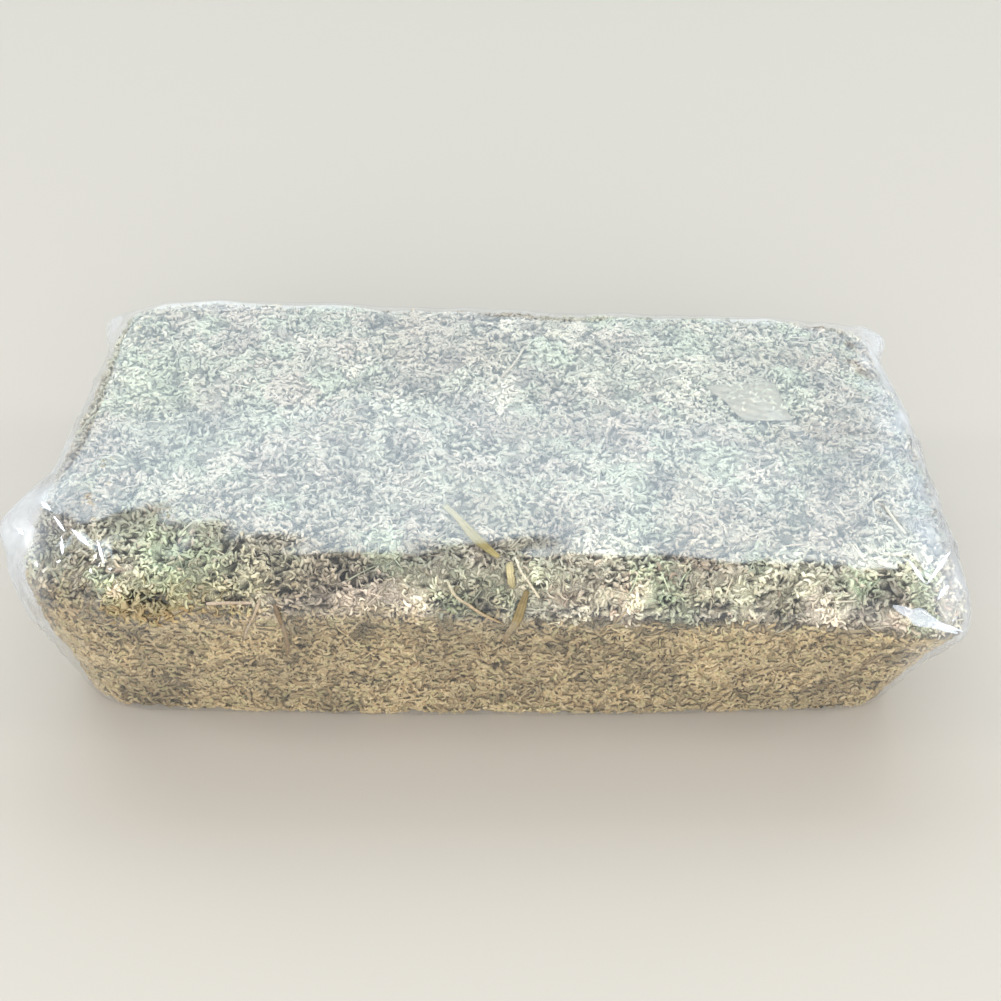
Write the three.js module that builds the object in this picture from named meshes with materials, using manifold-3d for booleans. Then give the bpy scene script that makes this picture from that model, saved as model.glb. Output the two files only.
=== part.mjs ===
// A compressed bale of dried sphagnum moss in its clear plastic bag, with the dry grass and twigs
// that were pressed in with the moss. Millimetres, +Z up, +X along the bale, -Y towards its front.
// The origin is the middle of the bag's box, on the surface that the bale lies on.
import * as THREE from "three";
import { mergeVertices } from "three/addons/utils/BufferGeometryUtils.js";
import Module from "manifold-3d";

const wasm = await Module();
wasm.setup();

// ---------------------------------------------------------------- driving dimensions

// The pressed moss. The ridge is the line round the bale where it is widest. Above it the wall leans
// in to the shoulder, and below it the wall leans in to the underside.
const HALF_LENGTH = { left: 198, right: 188 };
const HALF_DEPTH = { front: 96, backLeft: 109, backRight: 103 };
const END_FLARE = { left: 0.04, right: 0.02 };
const END_BOW = { left: 0, right: 6 };
const TOP_HEIGHT = { left: 94, right: 84 };
const RIDGE_HEIGHT = { left: 79, right: 65 };
const TOP_CROWN = 2;
const SHOULDER_INSET = { left: 23, right: 8, front: 24, back: 12 };
const UNDERCUT = { left: 9, right: 18, front: 10, back: 12 };
const UNDERCUT_BOW = 5;
const UNDERCUT_POWER = 1.3;
const CORNER_RADIUS = { frontLeft: 38, frontRight: 14, backLeft: 18, backRight: 11 };

// Gentle waves left by the press, as amplitude and wavelength along X and Y.
const WAVES = [
  { height: 1.3, alongX: 150, alongY: 120, phase: 0.6 },
  { height: 0.8, alongX: 67, alongY: 83, phase: 2.1 },
];

// The bag. It stands off the moss, more so at the two ends, and its corners stick out as ears. An
// ear starts from a point on the bag, and points along toward.
const BAG_WALL = 0.6;
const BAG_STANDOFF = 2.4;
const BAG_LIFT = 0.4;
const END_SLACK = { left: 3, right: 3 };
const END_SLACK_FROM = 0.78;
const EARS = [
  { from: [-203, -46, 80], toward: [-1, -0.3, 0.1], length: 7, spread: 20 },
  { from: [192, -94, 62], toward: [0.8, -0.6, 0], length: 4, spread: 14 },
  { from: [-200, 104, 76], toward: [-0.7, 0.7, 0], length: 5, spread: 18 },
  { from: [188, 98, 64], toward: [0.7, 0.7, 0], length: 5, spread: 16 },
];
const MOUTH = { length: 70, height: 1.6, depth: 24 };

// How many cells the box lattice has along X, Y and Z.
const CELLS = [30, 16, 8];

// Dry grass, twigs and a leaf scrap between the moss and the bag. Each follows guide points that lie
// near the moss. It is lifted clear of the moss, and clear of another piece that it crosses.
const DEBRIS_LIFT = 0.45;
const DEBRIS = [
  {
    name: "grass_blade_top",
    form: "blade",
    width: 4.4,
    thickness: 0.7,
    colour: 0xb89c5e,
    guide: [[-24, -48, 91], [-17, -57, 91], [-12, -65, 90], [-7, -71, 89], [-1, -76, 88]],
  },
  {
    name: "grass_blade_shoulder",
    form: "blade",
    width: 3.4,
    thickness: 0.7,
    colour: 0xc9b168,
    guide: [[4, -79, 88], [4, -84, 86], [5, -89, 84]],
  },
  {
    name: "grass_blade_front",
    form: "blade",
    width: 3.6,
    thickness: 0.7,
    colour: 0x8f7b45,
    guide: [[11, -90, 83], [9, -94, 79], [6, -96, 70], [3, -95, 64], [2, -95, 58]],
  },
  {
    name: "pale_fibre_shoulder",
    form: "stem",
    width: 0.9,
    thickness: 0.8,
    lift: 1.35,
    colour: 0xd8ccb4,
    guide: [[6, -77, 88], [9, -84, 86], [13, -89, 84], [16, -92, 81]],
  },
  {
    name: "curved_fibre_front",
    form: "stem",
    width: 1.1,
    thickness: 0.9,
    colour: 0xb5a58c,
    guide: [[-22, -87, 85], [-18, -92, 81], [-12, -94, 78], [-6, -95, 74], [0, -96, 71]],
  },
  {
    name: "pale_stem_left",
    form: "stem",
    width: 1.2,
    thickness: 1.0,
    colour: 0xcbbba8,
    guide: [[-121, -95, 81], [-111, -94, 81], [-102, -94, 81]],
  },
  {
    name: "slanting_stem_left",
    form: "stem",
    width: 1.1,
    thickness: 0.9,
    colour: 0xbfae98,
    guide: [[-99, -94, 82], [-102, -96, 75], [-106, -95, 66], [-108, -94, 59]],
  },
  {
    name: "brown_twig_left",
    form: "stem",
    width: 1.8,
    thickness: 1.2,
    colour: 0x6d5a48,
    guide: [[-93, -94, 80], [-91, -95, 70], [-90, -94, 58], [-91, -93, 48]],
  },
  {
    name: "straw_back",
    form: "stem",
    width: 1.1,
    thickness: 0.9,
    colour: 0xb6ab95,
    guide: [[11, 67, 89], [6, 53, 90], [0, 41, 91]],
  },
  {
    name: "straw_right",
    form: "stem",
    width: 1.2,
    thickness: 0.9,
    colour: 0xd2ccbc,
    guide: [[168, -40, 83], [171, -49, 83], [174, -57, 83]],
  },
  {
    name: "leaf_scrap_back",
    form: "blade",
    width: 9,
    thickness: 0.6,
    colour: 0x9a948a,
    guide: [[95, 42, 87], [105, 33, 86], [116, 25, 87], [127, 21, 87], [135, 18, 87]],
  },
  {
    name: "twig_right",
    form: "stem",
    width: 1.1,
    thickness: 1.0,
    colour: 0x8d7a60,
    guide: [[156, -91, 37], [159, -92, 43], [163, -93, 48]],
  },
];

// ---------------------------------------------------------------- materials

const MOSS_MATERIAL = new THREE.MeshStandardMaterial({ color: 0xa9a184, roughness: 0.95, metalness: 0 });
const FILM_MATERIAL = new THREE.MeshStandardMaterial({
  color: 0xf2f5f7,
  roughness: 0.12,
  metalness: 0,
  transparent: true,
  opacity: 0.25,
});
const DEBRIS_ROUGHNESS = 0.7;

// ---------------------------------------------------------------- solids

// A closed three.js geometry as a manifold-3d solid.
function toSolid(geometry) {
  const bare = geometry.clone();
  bare.deleteAttribute("normal");
  bare.deleteAttribute("uv");
  const merged = mergeVertices(bare, 1e-4);
  return new wasm.Manifold(
    new wasm.Mesh({
      numProp: 3,
      vertProperties: new Float32Array(merged.attributes.position.array),
      triVerts: new Uint32Array(merged.index.array),
    }),
  );
}

// A manifold-3d solid as a three.js geometry.
function toGeometry(solid) {
  const mesh = solid.getMesh();
  const geometry = new THREE.BufferGeometry();
  geometry.setAttribute("position", new THREE.BufferAttribute(new Float32Array(mesh.vertProperties), 3));
  geometry.setIndex(new THREE.BufferAttribute(new Uint32Array(mesh.triVerts), 1));
  geometry.computeVertexNormals();
  return geometry;
}

// Moves every vertex of a geometry to where place(vertex) says.
function reshape(geometry, place) {
  const position = geometry.attributes.position;
  const vertex = new THREE.Vector3();
  for (let i = 0; i < position.count; i++) {
    vertex.fromBufferAttribute(position, i);
    position.setXYZ(i, ...place(vertex).toArray());
  }
  geometry.computeVertexNormals();
  return geometry;
}

// ---------------------------------------------------------------- the bale's shape

// The value between a pair {left, right} at lattice place a, from -1 at the left to 1 at the right.
const between = (pair, a) => THREE.MathUtils.lerp(pair.left, pair.right, (a + 1) / 2);

// The height that the press waves add at (x, y).
function waveHeight(x, y) {
  return WAVES.reduce(
    (sum, w) =>
      sum +
      w.height *
        Math.sin((2 * Math.PI * x) / w.alongX + w.phase) *
        Math.cos((2 * Math.PI * y) / w.alongY - w.phase),
    0,
  );
}

// How far the wall stands in from the ridge line at lattice place (a, c), on each side of the bale.
function insetsAt(a, c) {
  const share = c >= 0 ? 1 - Math.cos((c * Math.PI) / 2) : (-c) ** UNDERCUT_POWER;
  const deepest = c >= 0 ? SHOULDER_INSET : { ...UNDERCUT, front: UNDERCUT.front + UNDERCUT_BOW * a * a };
  const insets = {};
  for (const side of Object.keys(deepest)) insets[side] = deepest[side] * share;
  return insets;
}

// Pulls a point of a rectangle's outline onto its rounded corner.
function roundCorner(x, y, halfX, halfY, radius) {
  const coreX = THREE.MathUtils.clamp(x, radius - halfX, halfX - radius);
  const coreY = THREE.MathUtils.clamp(y, radius - halfY, halfY - radius);
  const distance = Math.hypot(x - coreX, y - coreY);
  if (distance <= radius) return [x, y];
  return [
    coreX + ((x - coreX) * radius) / distance,
    coreY + ((y - coreY) * radius) / distance,
  ];
}

// The name of the corner that lattice place (a, b) is nearest to.
const cornerName = (a, b) => (b < 0 ? "front" : "back") + (a < 0 ? "Left" : "Right");

// The point of the bale's skin at lattice place (a, b, c), each from -1 to 1 on a cube's surface,
// for a skin that stands offset outside the moss with its underside at height base.
function skinPoint(a, b, c, offset, base) {
  const insets = insetsAt(a, c);
  const ring = Math.abs(c) === 1 ? Math.max(Math.abs(a), Math.abs(b)) : 1;
  const side = a < 0 ? "left" : "right";
  const reach = HALF_LENGTH[side] * (1 - END_FLARE[side] * b) + END_BOW[side] * (1 - b * b);
  const halfX = reach + offset - insets[side];
  const halfBack = THREE.MathUtils.lerp(HALF_DEPTH.backLeft, HALF_DEPTH.backRight, (a + 1) / 2);
  const halfY = offset + (b < 0 ? HALF_DEPTH.front - insets.front : halfBack - insets.back);
  const radius = (CORNER_RADIUS[cornerName(a, b)] + offset) * ring;
  const [x, y] = roundCorner(a * halfX, b * halfY, halfX * ring, halfY * ring, radius);
  const ridge = between(RIDGE_HEIGHT, a);
  if (c === -1) return new THREE.Vector3(x, y, base);
  if (c < 0) return new THREE.Vector3(x, y, THREE.MathUtils.lerp(ridge, base, -c));
  const crown = TOP_CROWN * (1 - a * a) * (1 - b * b) + waveHeight(x, y);
  const top = between(TOP_HEIGHT, a) + crown + offset;
  return new THREE.Vector3(x, y, THREE.MathUtils.lerp(ridge, top, Math.sin((c * Math.PI) / 2)));
}

// How far a point of the bag stands off further than the moss: at its slack ends and its ears.
function bagSlack(point, a, c) {
  const upper = THREE.MathUtils.smoothstep(c, -1, 0);
  const end = THREE.MathUtils.smoothstep(Math.abs(a), END_SLACK_FROM, 1);
  const slack = new THREE.Vector3(Math.sign(a) * END_SLACK[a < 0 ? "left" : "right"] * upper * end, 0, 0);
  for (const { from, toward, length, spread } of EARS) {
    const share = Math.exp(-((point.distanceTo(new THREE.Vector3(...from)) / spread) ** 2));
    slack.addScaledVector(new THREE.Vector3(...toward).normalize(), length * share);
  }
  return slack;
}

// A closed skin round the bale.
function skin(offset, base, slack) {
  return reshape(new THREE.BoxGeometry(2, 2, 2, ...CELLS), ({ x: a, y: b, z: c }) => {
    const point = skinPoint(a, b, c, offset, base);
    return slack ? point.add(bagSlack(point, a, c)) : point;
  });
}

const mossGeometry = skin(0, BAG_WALL + BAG_LIFT, false);

// The bag is one thin wall with a flat mouth slit in its left end.
function bagGeometry() {
  const outside = toSolid(skin(BAG_STANDOFF + BAG_WALL, 0, true));
  const inside = toSolid(skin(BAG_STANDOFF, BAG_WALL, true));
  const mouth = new THREE.BoxGeometry(MOUTH.depth, MOUTH.length, MOUTH.height);
  const mouthX = -(HALF_LENGTH.left + BAG_STANDOFF + END_SLACK.left + MOUTH.depth / 2 - BAG_WALL * 2);
  mouth.translate(mouthX, 0, RIDGE_HEIGHT.left);
  return toGeometry(outside.subtract(inside).subtract(toSolid(mouth)));
}

// ---------------------------------------------------------------- debris on the moss

// The moss skin's triangles, for laying things on it.
function trianglesOf(geometry) {
  const flat = geometry.toNonIndexed().attributes.position;
  const triangles = [];
  for (let i = 0; i < flat.count; i += 3) {
    const corners = [0, 1, 2].map((k) => new THREE.Vector3().fromBufferAttribute(flat, i + k));
    const triangle = new THREE.Triangle(...corners);
    if (triangle.getArea() > 1e-6) triangles.push(triangle);
  }
  return triangles;
}

const mossTriangles = trianglesOf(mossGeometry);

// The place on the moss that is nearest to a point, and the skin's outward direction there.
function nearestOnMoss(point) {
  const trial = new THREE.Vector3();
  let best = { distance: Infinity };
  for (const triangle of mossTriangles) {
    triangle.closestPointToPoint(point, trial);
    const distance = trial.distanceTo(point);
    if (distance < best.distance) best = { distance, place: trial.clone(), triangle };
  }
  return { place: best.place, normal: best.triangle.getNormal(new THREE.Vector3()) };
}

// How wide a piece is at s along it, from 0 to 1, as a share of its full width.
const TAPER = {
  blade: (s) => 0.35 + 0.65 * Math.sin(Math.PI * (0.05 + 0.7 * s)),
  stem: (s) => 1 - 0.35 * s,
};
const DEBRIS_STEP = 2.5;
const STEM_SIDES = 6;

// One blade or stem, bent along its guide and lying on the moss.
function debrisGeometry({ form, width, thickness, guide, lift = DEBRIS_LIFT }) {
  const curve = new THREE.CatmullRomCurve3(guide.map((p) => new THREE.Vector3(...p)));
  const steps = Math.max(4, Math.round(curve.getLength() / DEBRIS_STEP));
  const stations = [];
  for (let i = 0; i <= steps; i++) stations.push(nearestOnMoss(curve.getPointAt(i / steps)));
  const straight =
    form === "blade"
      ? new THREE.BoxGeometry(1, steps, 1, 2, steps, 1)
      : new THREE.CylinderGeometry(0.5, 0.5, steps, STEM_SIDES, steps);
  return reshape(straight, (vertex) => {
    const i = Math.round(vertex.y + steps / 2);
    const { place, normal } = stations[i];
    const ahead = stations[Math.min(i + 1, steps)].place;
    const behind = stations[Math.max(i - 1, 0)].place;
    const along = ahead.clone().sub(behind).normalize();
    const across = along.clone().cross(normal).normalize();
    return place
      .clone()
      .addScaledVector(across, vertex.x * width * TAPER[form](i / steps))
      .addScaledVector(normal, lift + (0.5 - vertex.z) * thickness);
  });
}

// A geometry with its faces pointing out.
function facingOut(geometry) {
  if (toSolid(geometry).volume() > 0) return geometry;
  const index = geometry.index.array;
  for (let i = 0; i < index.length; i += 3) [index[i + 1], index[i + 2]] = [index[i + 2], index[i + 1]];
  return geometry;
}

// ---------------------------------------------------------------- the scene graph

function named(name, geometry, material) {
  const mesh = new THREE.Mesh(geometry, material);
  mesh.name = name;
  return mesh;
}

const bale = new THREE.Group();
const bag = named("film_bag", bagGeometry(), FILM_MATERIAL);
bale.add(named("moss_block", mossGeometry, MOSS_MATERIAL));
bale.add(bag);
for (const piece of DEBRIS) {
  const material = new THREE.MeshStandardMaterial({
    color: piece.colour,
    roughness: DEBRIS_ROUGHNESS,
    metalness: 0,
  });
  bale.add(named(piece.name, facingOut(debrisGeometry(piece)), material));
}

// The origin is the middle of the bag's box in plan.
const box = new THREE.Box3().setFromObject(bag);
const middle = box.getCenter(new THREE.Vector3());
bale.position.set(-middle.x, -middle.y, 0);

export default bale;
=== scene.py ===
"""A compressed bale of dried sphagnum moss in its clear plastic bag.

The moss is a core, darkened by painted shade, with tens of thousands of curled strands matted over it.
Dry grass, stems and a leaf scrap lie on the moss, and a thin wrinkled film closes round everything.
"""

import functools
import itertools
import math
from types import SimpleNamespace

import bmesh
import bpy
import numpy as np
from mathutils.bvhtree import BVHTree
from mathutils.kdtree import KDTree
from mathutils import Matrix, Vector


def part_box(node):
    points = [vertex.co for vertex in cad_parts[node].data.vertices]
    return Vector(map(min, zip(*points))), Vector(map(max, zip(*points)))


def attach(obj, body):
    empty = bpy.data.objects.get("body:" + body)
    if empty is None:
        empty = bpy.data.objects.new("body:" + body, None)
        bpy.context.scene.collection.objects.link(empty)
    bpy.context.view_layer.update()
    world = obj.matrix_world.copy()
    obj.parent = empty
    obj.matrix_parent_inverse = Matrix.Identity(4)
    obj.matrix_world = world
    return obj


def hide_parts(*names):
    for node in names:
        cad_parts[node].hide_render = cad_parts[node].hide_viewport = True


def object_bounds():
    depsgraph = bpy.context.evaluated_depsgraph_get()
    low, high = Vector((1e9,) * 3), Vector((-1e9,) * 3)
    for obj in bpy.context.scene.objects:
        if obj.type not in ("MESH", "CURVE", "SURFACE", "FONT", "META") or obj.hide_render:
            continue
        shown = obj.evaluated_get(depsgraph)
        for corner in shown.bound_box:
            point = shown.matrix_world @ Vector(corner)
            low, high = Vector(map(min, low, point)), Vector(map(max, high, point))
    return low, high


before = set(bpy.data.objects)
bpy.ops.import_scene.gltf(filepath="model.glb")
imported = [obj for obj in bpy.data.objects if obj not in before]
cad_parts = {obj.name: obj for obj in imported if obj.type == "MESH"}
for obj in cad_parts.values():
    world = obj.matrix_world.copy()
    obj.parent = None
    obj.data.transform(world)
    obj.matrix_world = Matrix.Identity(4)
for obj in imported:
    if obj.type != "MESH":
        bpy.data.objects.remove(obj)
CAD_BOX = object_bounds()
MM = 0.001
SEEDS = {"surface": 3, "core": 4, "strands": 20, "debris": 8, "film": 31}

# ---- sizes and places, in metres

# The camera of the photograph: it looks along +Y and down.
CAMERA_PLACE = (6.9 * MM, -527.0 * MM, 530.0 * MM)
CAMERA_DOWN = math.radians(42.6)
CAMERA_LENS = 53.95
CAMERA_SENSOR = 36.0

# The room: pale near the floor, darker overhead, with a pale band behind the bale, a bright window over
# that, and pale side walls. The ranges are the sines of angles above the floor, towards the back or to
# the side.
HORIZON_LIGHT = 1.0
CEILING_LIGHT = 0.35
CEILING_RANGE = (0.20, 0.55)
WALL_LIGHT = 2.8
WALL_FOOT = (0.36, 0.46)
WALL_BEHIND = (0.15, 0.45)
WINDOW_LIGHT = 4.2
WINDOW_FOOT = (0.608, 0.634)
WINDOW_HEAD = (0.88, 0.78)
WALL_SIDE = (0.56, 0.40)
SIDE_LIGHT = 0.35
ROOM_COLOUR = (0.96, 0.98, 1.0, 1.0)
WALL_COLOUR = (0.77, 0.92, 1.0, 1.0)
WINDOW_COLOUR = (0.78, 0.92, 1.0, 1.0)
SIDE_WALL_COLOUR = (0.97, 0.98, 1.0, 1.0)
SIDE_ASIDE = (0.50, 0.66)
SIDE_FOOT = (0.2, 0.45)
SIDE_SIZE = (0.3, 0.4)
SIDE_POWER = 5.0
SIDE_BOXES = [("left_box", (-1.5, 0.0, 1.15)), ("right_box", (1.5, -0.1, 1.15))]
SIDE_COLOUR = (1.0, 0.99, 0.97)
BALE_MIDDLE = (0, 0, 0.05)
# Softboxes that nothing mirrors: name, place, target, size, power and colour.
UNMIRRORED_BOXES = [
    ("back_left_box", (-1.25, 1.15, 0.85), BALE_MIDDLE, (0.4, 0.6), 2.5, (0.97, 0.99, 1.0)),
    ("back_right_box", (1.25, 1.1, 0.85), BALE_MIDDLE, (0.4, 0.6), 2.5, (0.97, 0.99, 1.0)),
    ("front_fill", (0, -2.0, 0.9), BALE_MIDDLE, (2.6, 1.2), 44.0, (1.0, 0.98, 0.95)),
    ("overhead", (0, -0.2, 2.0), (0, 0, 0), (2.4, 2.4), 12.0, SIDE_COLOUR),
]
FLOOR_REACH = 6
FLOOR_TINT = (186, 180, 171)

# The moss surface: broad lumps on the pressed block, as size and height, and the clumps of moss with
# hollows between some of them.
LUMPS = [(46 * MM, 1.0 * MM), (19 * MM, 0.5 * MM)]
CLUMP_COUNT = 1500
CLUMP_EDGE = 3.6 * MM
CLUMP_DOME = 0.7 * MM
# How far the clumps' borders wander, as size and reach, how bright the clumps are, as spread and limits,
# and how strongly strands turn round a clump's middle.
CLUMP_WANDER = (8 * MM, 3.4 * MM)
CLUMP_LIGHT_SPREAD = 0.17
CLUMP_LIGHTS = (-0.25, 0.16)
CLUMP_CURLS = (-1.6, -0.8, 0.0, 0.8, 1.6)
HOLLOW_SHARE = 0.5
HOLLOW_DEPTH = 2.3 * MM
# How far the moss bulges at its foot, and the heights between which it does.
RIM_BULGE = 1.2 * MM
RIM_HEIGHTS = (16 * MM, 4 * MM)
# The top is levelled to a gently crowned surface: how much, and between which shares of the way inwards.
TOP_LEVELLED = 0.85
TOP_INWARD = (0.1, 0.25)
# How far the lumps rise at most, and how far from the loose grass they come in.
HIGHEST_LUMP = 0.6 * MM
CALM_GAPS = (2 * MM, 12 * MM)
CORE_DEPTH = 1.0 * MM
# Small pits between the strands, in painted shade: how many, how far they reach and how deep they are.
PIT_COUNT = 7500
PIT_REACH = (0.9 * MM, 1.9 * MM)
PIT_DEPTH = 2.2 * MM
# The size of the groups that pits come in, how many lie outside them, and how many the front lacks.
PIT_GROUP_SIZE = 13 * MM
PITS_APART = 0.12
PITS_LACKING = 0.8
# Painted shade: how much darker strands and the core are in pits, and the moss in hollows.
PIT_PAINTED_SHADE = 0.78
CORE_PIT_PAINTED_SHADE = 0.88
HOLLOW_PAINTED_SHADE = 0.62
# The core's worm-like ridges: their size, the step of the noise between them, how bright they are at the
# foot and the top, and how far they seem to stand out.
CORE_RIDGE_SIZE = 4.6 * MM
CORE_RIDGE_STEP = 0.07
CORE_RIDGE_SHADE = (0.6, 1.08)
CORE_RIDGE_BUMP = 6 * MM

# Strands, as tubes that taper to a point at both ends.
STATIONS = 5
STRAND_SIDES = 3
STRAND_VERTICES = 2 + (STATIONS - 2) * STRAND_SIDES
# How far the pointed ends are pulled in, which makes them blunt.
END_PULL = 0.2
STRAND_HIGHEST = 1.2 * MM
STRAND_LOWEST = 0.4 * MM
STRAND_PIECES = 5
STEM_COUNT = 1200
CURL_COUNT = 31000
FILLER_COUNT = 3000
TUFT_COUNT = 500
TUFT_STRANDS = 7
UNDERSIDE_SHARE = 0.06
# Their material: roughness, grain, bump, and how dark and bright the mottling is.
STRAND_LOOKS = (0.92, 1.4 * MM, 0.12 * MM, (0.84, 1.12))
# The kinds of strands, each from and to: step, height of the base, wave and thickness in mm, brightness.
STRAND_LIMITS = {
    "curl": ((1.1, 1.75), (-1.1, 0.3), (0.3, 1.1), (0.68, 1.08), (0.88, 1.1)),
    "filler": ((2.0, 2.8), (-2.6, -1.5), (0.1, 0.5), (1.0, 1.5), (0.7, 0.95)),
    "stem": ((2.6, 5.0), (-1.4, 1.0), (0.0, 0.4), (0.34, 0.52), (0.75, 1.1)),
    "tuft": ((0.65, 1.0), (0.1, 0.7), (0.1, 0.5), (0.6, 0.9), (0.95, 1.2)),
}
# How much curls, lower strands and tufts turn at each step, how much stems turn and swing, and the share
# of the curls that wind to and fro instead, and how much they do.
CURL_TURN = (0.45, 1.25)
FILLER_TURN = (0.2, 0.6)
TUFT_TURN = (0.15, 0.5)
STEM_TURN = 0.05
STEM_SWING = 0.12
WINDING_SHARE = 0.3
WINDING_SWING = (0.6, 1.2)
# How deep a strand's first end is rooted, its thickness along it, and how much a ring's may differ.
ROOT_DEPTH = (0.2 * MM, 1.6 * MM)
TAPER = [(0, 0.25, 0.7, 1), (0.5, 1.0, 0.85, 0.4)]
RING_SIZES = (0.85, 1.15)
# Painted shade on the deeper moss: heights over the moss and how much of the colour is left.
PAINTED_SHADE_HEIGHTS = (-3.2 * MM, -1.4 * MM, 0.0, 1.4 * MM)
PAINTED_SHADES = (0.52, 0.84, 0.99, 1.03)
# How bright a strand is from its first end to its last, how much painted light brightens its upper side,
# and how bright its specks are.
ALONG_SHADES = (0.94, 1.05)
PAINTED_TOP_LIGHT = 0.1
SPECKS = (0.92, 1.08)
# How much of the strands' relief and painted shade the pressing takes away, and how hard the flat top
# is pressed beside the front under the ridge.
PRESSED_RELIEF = 0.78
PRESSED_SHADE = 0.85
PRESSED_TOP = 0.92
PRESSED_LIGHT = 0.97
# Strands stay below the loose grass and stems within this distance of them: how deep, and how much
# higher they may lie away from them.
DEBRIS_CLEARANCE = 1.6 * MM
UNDER_DEBRIS = -1.1 * MM
BESIDE_DEBRIS = 2.6 * MM

# The film: the size of its cells at the middle and the ends, from where the ends begin, and the
# distance from the moss to which it is drawn in.
FILM_CELLS = (5.0 * MM, 1.7 * MM)
FILM_CELLS_ACROSS = 2.1 * MM
FILM_ENDS = 112 * MM
FILM_GAP = 2.3 * MM
# The film's soft unevenness, as size and height in mm.
FILM_BUMPS = [(26, 0.7), (13, 0.45), (7, 0.3)]
# How much of it the film has on its flat top and towards its edges, where the edges begin, and how many
# rounds of smoothing the film gets before.
BUMPS_ON_TOP = 0.08
BUMPS_AT_EDGES = 0.62
FILM_EDGES = (0.78, 0.95)
FILM_SMOOTHING = 4
# The film's top is drawn tight from these shares of the way inwards.
TAUT_INWARD = (0.06, 0.16)
# The film crumples to small facets near its ends: their size, their slope, and the distances from the
# bale's middle between which they come in.
FACET_SIZE = 7 * MM
FACET_TILT = 0.2
CRUMPLED = (188 * MM, 204 * MM)
# Between these distances the film also bunches up, milky in clouds and duller.
BUNCHED = (172 * MM, 200 * MM)
CLOUD_SIZE = 22 * MM
CLOUDINESS = (0.08, 0.34)
# Kinds of film: the least share that is mirrored, the least milkiness, and the roughness at the middle
# and where the film is bunched. Then the most that is mirrored, at a glance.
WRAP_FILM = (0.082, 0.025, 0.1, 0.36)
FOLD_FILM = (0.14, 0.25, 0.1, 0.1)
MOST_MIRRORED = 0.75
GLANCE_POWER = 4.5
MILK_TINT = (228, 236, 247)
MIRROR_COLOUR = (0.97, 0.985, 1.0, 1.0)
# The bag's outside is looked for from this far outside its box towards this far inside it.
FILM_REACH = 30 * MM
FILM_INSET = 45 * MM
# Deeper than this behind the bag's outline, a place lies in the bag's open mouth.
MOUTH_DEPTH = 12 * MM

# ---- small tools


def linear(red, green, blue):
    """An sRGB colour of 0 to 255 a channel, as the linear numbers that shaders take."""
    shares = np.array([red, green, blue]) / 255
    return np.where(shares <= 0.04045, shares / 12.92, ((shares + 0.055) / 1.055) ** 2.4)


def rgba(red, green, blue):
    return (*linear(red, green, blue), 1.0)


def mm(numbers):
    """Numbers in mm, as an array in metres."""
    return np.array(numbers) * MM


def norms(vectors):
    return np.linalg.norm(vectors, axis=-1)


def unit(vectors):
    return vectors / np.maximum(norms(vectors), 1e-12)[..., None]


def smoothstep(low, high, values):
    share = np.clip((values - low) / (high - low), 0, 1)
    return share * share * (3 - 2 * share)


def value_noise(points, size, seed):
    """Smooth noise from -1 to 1 at each point, with blobs about size across."""
    cell = np.asarray(points) / size + 1000.0
    corner = np.floor(cell).astype(np.int64)
    share = cell - corner
    share = share * share * (3 - 2 * share)
    total = np.zeros(cell.shape[:-1])
    for step in itertools.product((0, 1), repeat=3):
        at = corner + step
        key = at[..., 0] * 73856093 ^ at[..., 1] * 19349663 ^ at[..., 2] * 83492791 ^ seed * 2654435761
        key = (key ^ (key >> 13)) * 1274126177 & 0x7FFFFFFF
        key = (key ^ (key >> 11)) * 668265263 & 0x7FFFFFFF
        weight = np.prod(np.where(step, share, 1 - share), axis=-1)
        total += weight * (key / 0x3FFFFFFF - 1)
    return total


def linked_object(name, data):
    thing = bpy.data.objects.new(name, data)
    bpy.context.scene.collection.objects.link(thing)
    return thing


def mesh_object(name, vertices, faces):
    """A new smooth mesh object."""
    mesh = bpy.data.meshes.new(name)
    mesh.from_pydata(np.asarray(vertices).tolist(), [], faces)
    mesh.polygons.foreach_set("use_smooth", np.ones(len(mesh.polygons), bool))
    mesh.update()
    return linked_object(name, mesh)


def vertex_numbers(mesh, key):
    numbers = np.empty(len(mesh.vertices) * 3)
    mesh.vertices.foreach_get(key, numbers)
    return numbers.reshape(-1, 3)


def places_of(mesh):
    return vertex_numbers(mesh, "co")


def normals_of(mesh):
    return vertex_numbers(mesh, "normal")


def paint(thing, colours):
    """Writes a colour to each vertex, which the materials read as tint."""
    tint = thing.data.color_attributes.new("tint", "FLOAT_COLOR", "POINT")
    numbers = np.ones((len(colours), 4), np.float32)
    numbers[:, :3] = colours
    tint.data.foreach_set("color", numbers.ravel())


def random_for(part):
    """The part's own random numbers."""
    return np.random.default_rng(SEEDS[part])


def stand_for(piece, node):
    """The piece stands for the CAD node, which is hidden, and hangs from the root body."""
    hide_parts(node)
    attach(piece, "root")


def kd_tree(points):
    """A tree that finds the nearest of the points."""
    tree = KDTree(len(points))
    for i, point in enumerate(points.tolist()):
        tree.insert(point, i)
    tree.balance()
    return tree


def drawn_out(places, corners, sharpness):
    """The places, drawn out to points at corners in mm: from, to and how far round."""
    for start, end, reach in corners:
        pull = np.maximum(1 - norms(places - mm(start)) / (reach * MM), 0) ** sharpness
        places = places + pull[:, None] * mm(np.subtract(end, start))
    return places


# ---- camera, lights and floor


def make_camera():
    data = bpy.data.cameras.new("photo_camera")
    data.lens = CAMERA_LENS
    data.sensor_width = CAMERA_SENSOR
    camera = linked_object("photo_camera", data)
    camera.location = CAMERA_PLACE
    camera.rotation_euler = (math.pi / 2 - CAMERA_DOWN, 0, 0)
    bpy.context.scene.camera = camera


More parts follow.
